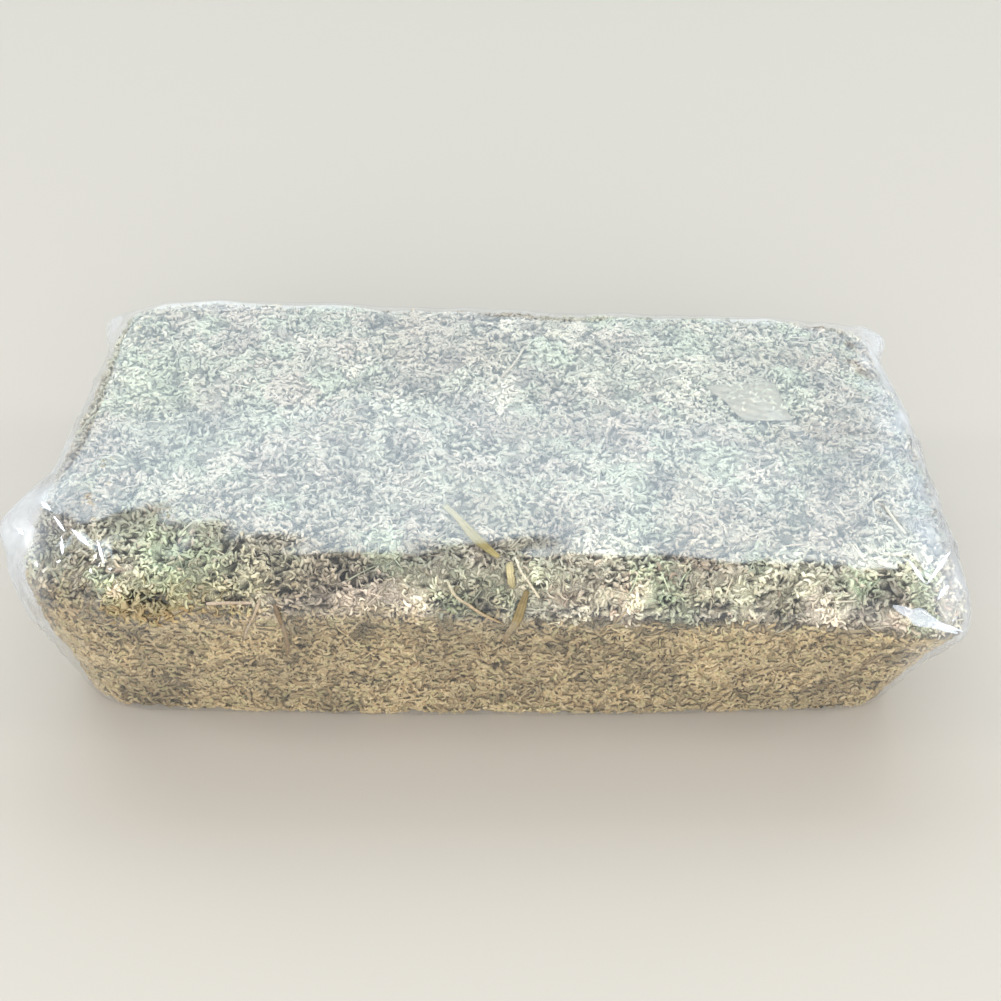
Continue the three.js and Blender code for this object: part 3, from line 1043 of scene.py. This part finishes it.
def make_strands(moss, random):
    groups = [make(moss, random) for make in (curled_strands, lower_strands, straight_stems, tufted_heads)]
    values = {key: np.concatenate([group[key] for group in groups]) for key in groups[0]}
    strands = SimpleNamespace(**values)
    places, normals = strand_walks(moss, strands, random)
    pressed = np.maximum(tan_shares(places[:, 0]), PRESSED_TOP * smoothstep(0.93, 0.99, normals[:, 0, 2]))
    centres = places + normals * strand_heights(strands, places, pressed, random)[..., None]
    centres[:, 0] += END_PULL * (centres[:, 1] - centres[:, 0])
    centres[:, -1] += END_PULL * (centres[:, -2] - centres[:, -1])
    along = np.arange(STATIONS) / (STATIONS - 1)
    radii = strands.thick[:, None] * np.interp(along, *TAPER)
    radii *= random.uniform(*RING_SIZES, centres.shape[:2])
    tubes = strand_tubes(centres, normals, radii, random)
    brightness = 1 + (strands.brightness - 1) * variety_at(places[:, 0])
    tints = moss_tints(moss, places[:, 0], random) * brightness[:, None]
    station = np.repeat(np.arange(STATIONS), [1] + [STRAND_SIDES] * (STATIONS - 2) + [1])
    height = ((tubes - places[:, station]) * normals[:, station]).sum(-1)
    side = ((tubes - centres[:, station]) * normals[:, station]).sum(-1) / strands.thick[:, None]
    # Painted shade on deeper strands, and painted light on their upper sides.
    lit = np.interp(height, PAINTED_SHADE_HEIGHTS, PAINTED_SHADES) * (1 + PAINTED_TOP_LIGHT * side)
    lit *= np.interp(along, [0, 1], ALONG_SHADES)[station] * random.uniform(*SPECKS, lit.shape)
    lit += PRESSED_SHADE * pressed[:, None] * (PRESSED_LIGHT - lit)
    # Painted shade in pits, where the strands also sink.
    in_pits = moss.in_pits(tubes.reshape(-1, 3)).reshape(lit.shape)
    lit *= 1 - PIT_PAINTED_SHADE * variety_at(tubes) * in_pits
    tubes -= normals[:, station] * (PIT_DEPTH * in_pits)[..., None]
    tubes[..., 2] = np.maximum(tubes[..., 2], STRAND_LOWEST)
    shades = tints[:, None] * lit[..., None]
    material = tinted_material("moss_strand", *STRAND_LOOKS)
    order = np.argsort(places[:, 0, 0])
    for i, part in enumerate(np.array_split(order, STRAND_PIECES)):
        corners, colours = tubes[part].reshape(-1, 3), shades[part].reshape(-1, 3)
        faces = tube_faces(len(part))
        painted_piece(f"moss_strands_{i + 1}", "moss_block", corners, faces, colours, material)


# ---- loose grass, stems and leaf

# Blades of grass: half width, then the width's share and the colour at even steps from the upper end.
BLADES = {
    "grass_blade_top": (
        2.3 * MM,
        [0.6, 0.72, 0.72, 0.76, 0.86, 1.0, 1.0, 0.8, 0.45],
        [(166, 158, 122), (162, 150, 112), (150, 136, 88), (140, 126, 70), (142, 126, 66), (170, 152, 96)],
    ),
    "grass_blade_shoulder": (
        1.7 * MM,
        [0.6, 1.0, 0.9, 0.95, 0.5],
        [(178, 166, 128), (190, 178, 138), (150, 138, 104)],
    ),
    "grass_blade_front": (
        2.0 * MM,
        [0.5, 0.9, 1.0, 0.75, 0.7, 0.35],
        [(124, 110, 80), (136, 121, 86), (148, 132, 98), (132, 112, 80)],
    ),
}
# How bright each lengthwise stripe of a blade is, from one edge to the other.
BLADE_STRIPES = (0.66, 1.08, 0.86, 1.15, 0.9, 1.1, 0.7)
BLADE_STEPS = 30
BLADE_THICK = 0.22 * MM
# How far a blade folds up, as a share of its width, and how high its ribs, its waves and its foot are.
BLADE_FOLD = 0.28
BLADE_RIBS = 0.07 * MM
BLADE_WAVES = 0.3 * MM
BLADE_FOOT = 0.1 * MM
# The leaf scrap's corners in plan, in mm, the height from which it is laid on the moss, and how far it
# stands over that.
LEAF_CORNERS = ((103.9, 33.1), (120.0, 9.2), (142.6, 10.7), (136.5, 38.4))
LEAF_CELLS = 16
LEAF_HEIGHT = 88 * MM
LEAF_RISE = 0.25 * MM
LEAF_THICK = 0.25 * MM
LEAF_TINT = linear(150, 144, 128)
# The leaf's outline is uneven, as size and reach, one side curls up, and it is dark and pale in veins.
LEAF_UNEVENNESS = (5 * MM, 0.9 * MM)
LEAF_CURL = 0.6 * MM
LEAF_VEINS = 5
LEAF_VEIN_SHADE = 0.16
# Stems and fibres: half thickness, then the colour at even steps.
STEMS = {
    "pale_fibre_shoulder": (0.55 * MM, [(226, 218, 198), (206, 194, 168)]),
    "curved_fibre_front": (0.6 * MM, [(196, 190, 166), (178, 160, 132), (168, 146, 116)]),
    "pale_stem_left": (0.68 * MM, [(190, 172, 154), (172, 154, 134), (184, 166, 146)]),
    "slanting_stem_left": (0.6 * MM, [(182, 166, 146), (168, 150, 124)]),
    "brown_twig_left": (0.95 * MM, [(120, 104, 88), (140, 120, 92), (128, 104, 74)]),
    "straw_back": (0.6 * MM, [(190, 182, 164), (176, 164, 142)]),
    "straw_right": (0.65 * MM, [(226, 222, 208), (214, 208, 190)]),
    "twig_right": (0.62 * MM, [(150, 132, 104), (134, 114, 86)]),
}
# Materials: roughness, grain, bump, and how dark and bright the mottling is.
DEBRIS_LOOKS = {
    "dry_grass": (0.5, 1.6 * MM, 0.08 * MM, (0.82, 1.12)),
    "dry_stem": (0.7, 1.2 * MM, 0.1 * MM, (0.75, 1.15)),
    "dry_leaf": (0.75, 2.5 * MM, 0.1 * MM, (0.85, 1.1)),
}
BLADE_COLUMNS = 7
STEM_SIDES = 8
STEM_STEPS = 26
# How many joints a stem has, how much thicker it is there, and how its thickness changes along it.
STEM_JOINTS = 3.2
JOINT_SWELLING = 0.25
STEM_TAPER = [(0, 0.06, 0.94, 1), (0.6, 1, 0.85, 0.45)]


def centre_line(node, count):
    """Points down the middle of a long CAD node, from its upper back end."""
    points = np.unique(places_of(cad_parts[node].data).round(6), axis=0)
    axis = np.linalg.svd(points - points.mean(0))[2][0]
    if axis @ (-0.1, 1, 1) > 0:
        axis = -axis
    reach = (points - points.mean(0)) @ axis
    steps = np.linspace(reach.min(), reach.max(), count)
    weights = np.exp(-(((reach - steps[:, None]) / (1.3 * MM)) ** 2))
    line = weights @ points / weights.sum(1, keepdims=True)
    return line + axis * (steps - (line - points.mean(0)) @ axis)[:, None]


def even_steps(values, count):
    """Values given at even steps, filled in at count steps."""
    values = np.asarray(values, float)
    at = np.linspace(0, len(values) - 1, count)
    columns = values.reshape(len(values), -1).T
    return np.stack([np.interp(at, range(len(values)), column) for column in columns], 1)


def even_tints(colours, count):
    """Colours given at even steps, filled in at count steps, as linear numbers."""
    return linear(*even_steps(colours, count).T).T


def swept(centres, sides, ups, across, above):
    """A closed form's vertices and faces, with a ring of across and above offsets at each centre."""
    rings = centres[:, None] + sides[:, None] * across[..., None] + ups[:, None] * above[..., None]
    count, ring = across.shape
    faces = []
    for i, j in itertools.product(range(count - 1), range(ring)):
        k = (j + 1) % ring
        faces.append([i * ring + j, i * ring + k, (i + 1) * ring + k, (i + 1) * ring + j])
    faces.append(list(range(ring))[::-1])
    faces.append(list(range((count - 1) * ring, count * ring)))
    return rings.reshape(-1, 3), faces


def debris_frame(moss, node, count):
    """Centres, sideways and upward directions along a CAD node that lies on the moss."""
    centres = centre_line(node, count)
    ups = moss.nearest(centres)[1]
    along = unit(np.gradient(centres, axis=0))
    sides = unit(np.cross(along, ups))
    return centres, sides, np.cross(sides, along)


def make_blade(moss, node, material, random):
    """A dry grass blade: folded at its midrib, striped along, a little curled and frayed."""
    half_width, widths, colours = BLADES[node]
    count = BLADE_STEPS
    lie = debris_frame(moss, node, count)
    half = half_width * even_steps(widths, count) * random.uniform(0.96, 1.04, (count, 1))
    column = np.linspace(-1, 1, BLADE_COLUMNS)
    rib = BLADE_RIBS * np.cos(column * math.pi * 3)
    wave = BLADE_WAVES * np.sin(np.linspace(0, 9, count))[:, None] * column
    top = BLADE_FOLD * half * np.abs(column) + rib + wave + BLADE_FOOT
    across = np.concatenate([half * column, half * column[::-1]], 1)
    above = np.concatenate([top, top[:, ::-1] - BLADE_THICK], 1)
    places, faces = swept(*lie, across, above)
    shade = np.concatenate([BLADE_STRIPES, BLADE_STRIPES[::-1]]) * random.uniform(0.9, 1.08, (count, 1))
    colours = (even_tints(colours, count)[:, None] * shade[..., None]).reshape(-1, 3)
    painted_piece(f"{node}_dry", node, places, faces, colours, material)


def make_leaf(moss, material, random):
    """The flat scrap of leaf: a four-cornered sheet with an uneven outline, veins and a slight curl."""
    steps = np.linspace(0, 1, LEAF_CELLS + 1)
    s, t = (grid.reshape(-1, 1) for grid in np.meshgrid(steps, steps, indexing="ij"))
    a, b, c, d = mm(LEAF_CORNERS)
    plan = (a * (1 - s) + b * s) * (1 - t) + (d * (1 - s) + c * s) * t
    places = np.hstack([plan, np.full_like(s, LEAF_HEIGHT)])
    size, reach = LEAF_UNEVENNESS
    places[:, 0] += reach * value_noise(places, size, 61)
    places[:, 1] += reach * value_noise(places, size, 62)
    ground, _ = moss.nearest(places)
    curl = LEAF_CURL * (1 - t[:, 0]) ** 4 + 0.35 * MM * value_noise(places, 9 * MM, 63)
    places[:, 2] = ground[:, 2] + LEAF_RISE + curl
    row = LEAF_CELLS + 1
    corner = (np.arange(LEAF_CELLS)[:, None] * row + np.arange(LEAF_CELLS)).ravel()
    top = np.stack([corner, corner + row, corner + row + 1, corner + 1], 1)
    count = row * row
    edge = [*range(0, count, row), *range(LEAF_CELLS * row + 1, count)]
    edge += [*range(count - 1 - row, 0, -row), *range(LEAF_CELLS - 1, 0, -1)]
    sides = [[i, i + count, j + count, j] for i, j in zip(edge, edge[1:] + edge[:1], strict=True)]
    faces = top.tolist() + (top[:, ::-1] + count).tolist() + sides
    below = places - (0, 0, LEAF_THICK)
    veins = 1 + LEAF_VEIN_SHADE * np.cos(2 * math.pi * LEAF_VEINS * (s - 0.5 * t))
    veins *= random.uniform(0.82, 1.12, s.shape)
    veins *= 1 + 0.18 * value_noise(places, 6 * MM, 64)[:, None]
    places = np.vstack([places, below])
    colours = np.tile(LEAF_TINT * veins, (2, 1))
    painted_piece("leaf_scrap_back_dry", "leaf_scrap_back", places, faces, colours, material)


def make_stem(moss, node, material, random):
    """A dry stem or fibre: a thin, uneven round rod, thicker at its joints."""
    half_thickness, colours = STEMS[node]
    count = STEM_STEPS
    lie = debris_frame(moss, node, count)
    along = np.linspace(0, 1, count)
    joints = 1 + JOINT_SWELLING * np.exp(-(((along * STEM_JOINTS) % 1 - 0.5) ** 2) / 0.004)
    ends = np.interp(along, *STEM_TAPER)
    radii = half_thickness * (joints * ends * random.uniform(0.93, 1.07, count))[:, None]
    angles = 2 * math.pi * np.arange(STEM_SIDES) / STEM_SIDES
    places, faces = swept(*lie, radii * np.cos(angles), radii * np.sin(angles))
    tints = even_tints(colours, count)[:, None] * random.uniform(0.85, 1.1, (count, STEM_SIDES, 1))
    painted_piece(f"{node}_dry", node, places, faces, tints.reshape(-1, 3), material)


def make_debris(moss, random):
    grass, stem, leaf = (tinted_material(name, *looks) for name, looks in DEBRIS_LOOKS.items())
    for node in BLADES:
        make_blade(moss, node, grass, random)
    make_leaf(moss, leaf, random)
    for node in STEMS:
        make_stem(moss, node, stem, random)


# ---- the film

# The bag's corners, drawn out to points: where from, where to and how far round, in mm.
EARS = [
    ((-203, -57, 84), (-208, -61, 84), 17),
    ((-196, 96, 78), (-203, 100, 78), 14),
    ((199, 94, 72), (205, 98, 72), 13),
]
EAR_SHARPNESS = 1.6
# Where the bag stays loose, in mm: the place, how far round, and how much of the slack stays.
LOOSE_PLACES = [
    ((-200, -72, 66), 62, 1.0),
    ((-190, -90, 8), 40, 1.0),
    ((204, -80, 62), 42, 0.55),
    ((-196, 96, 78), 22, 0.8),
    ((200, 94, 72), 22, 0.8),
]
# Creases that the photograph shows, in mm: from, to, height and half width.
CREASES = [
    ((-172, -74, 96), (-163, -83, 96), 2.2, 5.0),
    ((-175, -78, 96), (-174, -88, 94), 1.8, 4.0),
    ((-160, -80, 96), (-156, -93, 94), 2.0, 4.0),
    ((-158, -92, 93), (-168, -102, 56), 2.2, 5.0),
    ((-188, -58, 96), (-183, -64, 96), 1.6, 5.0),
    ((176, -80, 87), (183, -94, 84), 2.0, 4.0),
    ((197, -74, 86), (183, -94, 84), 2.2, 4.5),
    ((194, -91, 83), (184, -101, 79), 1.8, 4.0),
    ((163, -98, 81), (197, -104, 66), 3.0, 7.0),
    ((170, -46, 87), (182, -70, 86), 0.8, 3.0),
]
# Sharp folds that glint, in mm: from, to, half width, where it is widest, and which of the MIRRORED it
# mirrors towards the camera: the left box, the right box or the room in front of it.
MIRRORED = [SIDE_BOXES[0][1], SIDE_BOXES[1][1], (2.1, -2.2, 1.45)]
FOLDS = [
    ((176.8, -83.0, 88.4), (182.8, -94.7, 85.4), 1.2, 0.6, 0),
    ((195.5, -77.5, 87.4), (183.2, -94.5, 85.4), 1.2, 0.4, 1),
    ((192.5, -93.5, 84.2), (186.4, -99.9, 81.2), 1.2, 0.5, 1),
    ((168.3, -101.8, 80.1), (196.8, -105.6, 67.5), 3.6, 0.4, 2),
    ((184.0, -106.5, 76.0), (198.0, -106.5, 69.3), 0.9, 0.6, 1),
    ((198.0, -98.0, 72.0), (194.5, -101.0, 69.0), 0.9, 0.5, 1),
    ((-172.5, -73.5, 97.0), (-162.5, -83.5, 96.2), 1.3, 0.6, 0),
    ((-175.2, -77.5, 96.6), (-174.2, -86.5, 94.5), 1.1, 0.6, 0),
    ((-160.0, -79.5, 96.4), (-156.0, -92.0, 94.2), 1.2, 0.5, 0),
    ((-181.0, -66.0, 97.0), (-175.0, -75.0, 96.5), 0.8, 0.5, 0),
    ((-188.5, -57.5, 97.5), (-183.5, -62.5, 97.2), 1.4, 0.5, 0),
    ((-197.0, -69.0, 92.8), (-193.5, -72.5, 92.6), 1.2, 0.5, 0),
]
FOLD_STEPS = 12
FOLD_THICK = 0.12 * MM
# How far a fold stands off the film, how wide its ends are, and how much it arches, as shares of its width.
FOLD_RISE = 0.3 * MM
FOLD_ENDS = 0.12
FOLD_ARCH = 0.06
HIGHEST_CREASE = 4 * MM
# Random creases: how many, on which part of the bag, height and half width in mm, and length in mm.
RANDOM_CREASES = [
    (130, "ends", (0.3, 1.1), (1.9, 3.6), (8, 34)),
    (70, "sides", (0.15, 0.5), (2.4, 4.5), (10, 50)),
    (16, "top", (0.05, 0.2), (6.0, 9.0), (20, 70)),
]


def film_lines():
    """Where the film's cells begin and end along each axis, from -1 to 1."""
    half_length, half_depth, half_height = np.array(CAD_BOX[1] - CAD_BOX[0]) / 2
    inner = round(FILM_ENDS / FILM_CELLS[0])
    outer = round((half_length - FILM_ENDS) / FILM_CELLS[1])
    steps = [0, inner, inner + outer]
    half = np.interp(range(inner + outer + 1), steps, [0, FILM_ENDS, half_length]) / half_length
    halves = (half_depth, half_height)
    across, up = (np.linspace(-1, 1, round(2 * side / FILM_CELLS_ACROSS) + 1) for side in halves)
    return np.concatenate([-half[:0:-1], half]), across, up


def film_lattice():
    """The vertices of a divided cube with corners at -1 and 1, and its quads, facing out."""
    lines = film_lines()
    surface = bmesh.new()
    for axis, end in itertools.product(range(3), (-1, 1)):
        across, up = [k for k in range(3) if k != axis]
        grid = np.full((len(lines[across]), len(lines[up]), 3), float(end))
        grid[..., across], grid[..., up] = np.meshgrid(lines[across], lines[up], indexing="ij")
        rows = [[surface.verts.new(place) for place in row] for row in grid]
        for i, j in itertools.product(range(len(rows) - 1), range(len(rows[0]) - 1)):
            surface.faces.new([rows[i][j], rows[i + 1][j], rows[i + 1][j + 1], rows[i][j + 1]])
    bmesh.ops.remove_doubles(surface, verts=surface.verts, dist=1e-6)
    bmesh.ops.recalc_face_normals(surface, faces=surface.faces)
    surface.verts.index_update()
    lattice = vertices_and_faces(surface)
    surface.free()
    return lattice


def taut_top(lattice, places):
    """Draws the top of the film tight: one gently crowned surface instead of the moss's unevenness."""
    inward = 1 - np.abs(lattice[:, :2]).max(1)
    on_top = (lattice[:, 2] > 0.999) & (inward > TAUT_INWARD[0])
    places = places.copy()
    weight = on_top * smoothstep(*TAUT_INWARD, inward)
    places[:, 2] += weight * (crown_height(places, on_top) - places[:, 2])
    return sloped(places)


def smoothed(places, faces, rounds):
    """Moves each place towards the middle of its neighbours, several times over."""
    quads = np.array(faces)
    ends = np.stack([quads, np.roll(quads, -1, axis=1)], -1).reshape(-1, 2)
    own, other = np.concatenate([ends, ends[:, ::-1]]).T
    count = np.bincount(own, minlength=len(places))[:, None]
    for _ in range(rounds):
        total = np.stack([np.bincount(own, places[other, k], len(places)) for k in range(3)], 1)
        places = places + 0.5 * (total / count - places)
    return places


def drawn_in(places, moss):
    """Draws slack film in towards the moss, except near the places where the bag stays loose."""
    ground, outward = moss.nearest(places)
    slack = np.maximum(((places - ground) * outward).sum(1) - FILM_GAP, 0)
    loose = np.zeros(len(places))
    for place, reach, share in LOOSE_PLACES:
        gap = norms(places - mm(place)) / (reach * MM)
        loose = np.maximum(loose, share * (1 - smoothstep(0.5, 1.0, gap)))
    return places - outward * (slack * 0.9 * (1 - loose))[:, None]


def crease_rise(places, normals, start, along, length, outward, height, half_width):
    """How far a sharp, straight crease lifts each place."""
    offset = places - start
    reach = offset @ along / length
    gap = np.abs(offset @ np.cross(along, outward)) / half_width
    ends = smoothstep(-0.12, 0.15, reach) * (1 - smoothstep(0.85, 1.12, reach))
    facing = smoothstep(0.1, 0.5, normals @ outward)
    near = np.abs(offset @ outward) < 0.6 * length + 6 * MM
    return height * np.maximum(1 - gap, 0) ** 1.15 * ends * facing * near


def crease_film(lattice, places, normals, random):
    """The film's places with its creases."""
    parts = {
        "ends": (np.abs(lattice[:, 0]) > 0.965) & (np.abs(lattice[:, 2]) < 0.93),
        "sides": (np.abs(lattice[:, 1]) > 0.9) & (np.abs(lattice[:, 2]) < 0.9),
        "top": (lattice[:, 2] > 0.999) & (np.abs(lattice[:, :2]).max(1) < 0.85),
    }
    off_top = 1 - smoothstep(0.4, 0.8, normals[:, 2])
    rise = np.zeros(len(places))
    for start, end, height, half_width in CREASES:
        start, end = mm([start, end])
        nearest = norms(places - (start + end) / 2).argmin()
        length = np.linalg.norm(end - start)
        along = (end - start) / length
        outward = unit(normals[nearest] - along * (normals[nearest] @ along))
        rise += crease_rise(places, normals, start, along, length, outward, height * MM, half_width * MM)
    for count, part, heights, half_widths, lengths in RANDOM_CREASES:
        for vertex in random.choice(np.flatnonzero(parts[part]), count):
            outward = normals[vertex]
            along = unit(np.cross(outward, random.normal(size=3)))
            length = random.uniform(*lengths) * MM
            height = random.uniform(*heights) * MM
            half_width = random.uniform(*half_widths) * MM
            lift = crease_rise(places, normals, places[vertex], along, length, outward, height, half_width)
            rise += lift * (1 if part == "top" else off_top)
    return places + normals * np.minimum(rise, HIGHEST_CREASE)[:, None]


def bag_places(lattice):
    """The CAD bag's outside at each place of the lattice, closed over the bag's mouth."""
    low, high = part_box("film_bag")
    middle = np.array((low + high) / 2)
    half = np.array((high - low) / 2)
    inner = middle + lattice * (half - FILM_INSET)
    outer = middle + lattice * (half + FILM_REACH)
    bag = merged_copy("film_bag")
    tree = BVHTree.FromBMesh(bag)
    bmesh.ops.convex_hull(bag, input=bag.verts)
    closed_tree = BVHTree.FromBMesh(bag)
    bag.free()
    places = np.empty_like(inner)
    for i, (start, toward) in enumerate(zip(outer.tolist(), unit(inner - outer).tolist(), strict=True)):
        place = tree.ray_cast(start, toward)[0]
        over = closed_tree.ray_cast(start, toward)[0]
        places[i] = over if place is None or (place - over).length > MOUTH_DEPTH else place
    return places


def make_film(moss, random):
    """The bag: a fine skin that follows the CAD bag's outside, drawn tight over the moss and creased."""
    lattice, faces = film_lattice()
    places = drawn_in(bag_places(lattice), moss)
    places = smoothed(taut_top(lattice, places), faces, FILM_SMOOTHING)
    film = mesh_object("film_wrap", places, faces)
    normals = normals_of(film.data)
    high, far = np.abs(lattice[:, 2]), np.abs(lattice[:, 0])
    off_top = np.maximum(smoothstep(*FILM_EDGES, np.abs(lattice[:, 1])), smoothstep(0.88, 0.99, far))
    off_sides = smoothstep(*FILM_EDGES, np.maximum(high, off_top))
    edges = BUMPS_ON_TOP + BUMPS_AT_EDGES * np.where(high > 0.999, off_top, off_sides)
    bumps = sum(height * MM * value_noise(places, size * MM, 41 + size) for size, height in FILM_BUMPS)
    places += normals * (edges * bumps)[:, None]
    places = crease_film(lattice, places, normals, random)
    places = drawn_out(places, EARS, EAR_SHARPNESS)
    places[:, 2] = np.maximum(places[:, 2], 0.0)
    film.data.vertices.foreach_set("co", places.ravel())
    film.data.update()
    film.visible_shadow = False
    for name, crumpled in (("clear_film", False), ("crumpled_film", True)):
        film.data.materials.append(film_material(name, WRAP_FILM, crumpled))
    at_ends = np.abs(places[np.array(faces), 0]).max(1) > CRUMPLED[0]
    film.data.polygons.foreach_set("material_index", at_ends.astype(np.int32))
    stand_for(film, "film_bag")


def make_folds():
    """Sharp folds of the film, each turned so that it mirrors one place towards the camera."""
    steps = np.linspace(0, 1, FOLD_STEPS)
    column = np.linspace(-1, 1, 5)
    places, faces = [], []
    for start, end, half_width, widest, mirrored in FOLDS:
        start, end = mm([start, end])
        middle = (start + end) / 2
        facing = unit(unit(CAMERA_PLACE - middle) + unit(MIRRORED[mirrored] - middle))
        reach = end - start - facing * ((end - start) @ facing)
        centres = middle + reach * (steps - 0.5)[:, None] + FOLD_RISE * facing
        width = half_width * MM * np.interp(steps, [0, widest, 1], [FOLD_ENDS, 1, FOLD_ENDS])[:, None]
        width *= 1 + 0.3 * value_noise(centres, 4 * MM, 91)[:, None]
        arch = -FOLD_ARCH * width * column**2
        across = np.concatenate([width * column, width * column[::-1]], 1)
        above = np.concatenate([arch, arch[:, ::-1] - FOLD_THICK], 1)
        side = np.cross(unit(reach), facing)
        sides, ups = (np.tile(direction, (FOLD_STEPS, 1)) for direction in (side, facing))
        ring_places, ring_faces = swept(centres, sides, ups, across, above)
        faces += [[i + sum(map(len, places)) for i in face] for face in ring_faces]
        places.append(ring_places)
    folds = mesh_object("film_folds", np.concatenate(places), faces)
    folds.visible_shadow = False
    folds.data.materials.append(film_material("film_fold", FOLD_FILM, True))
    stand_for(folds, "film_bag")


# ---- the scene

make_camera()
make_studio()
MOSS = MossSurface(random_for("surface"))
make_core(MOSS, random_for("core"))
make_strands(MOSS, random_for("strands"))
make_debris(MOSS, random_for("debris"))
make_film(MOSS, random_for("film"))
make_folds()
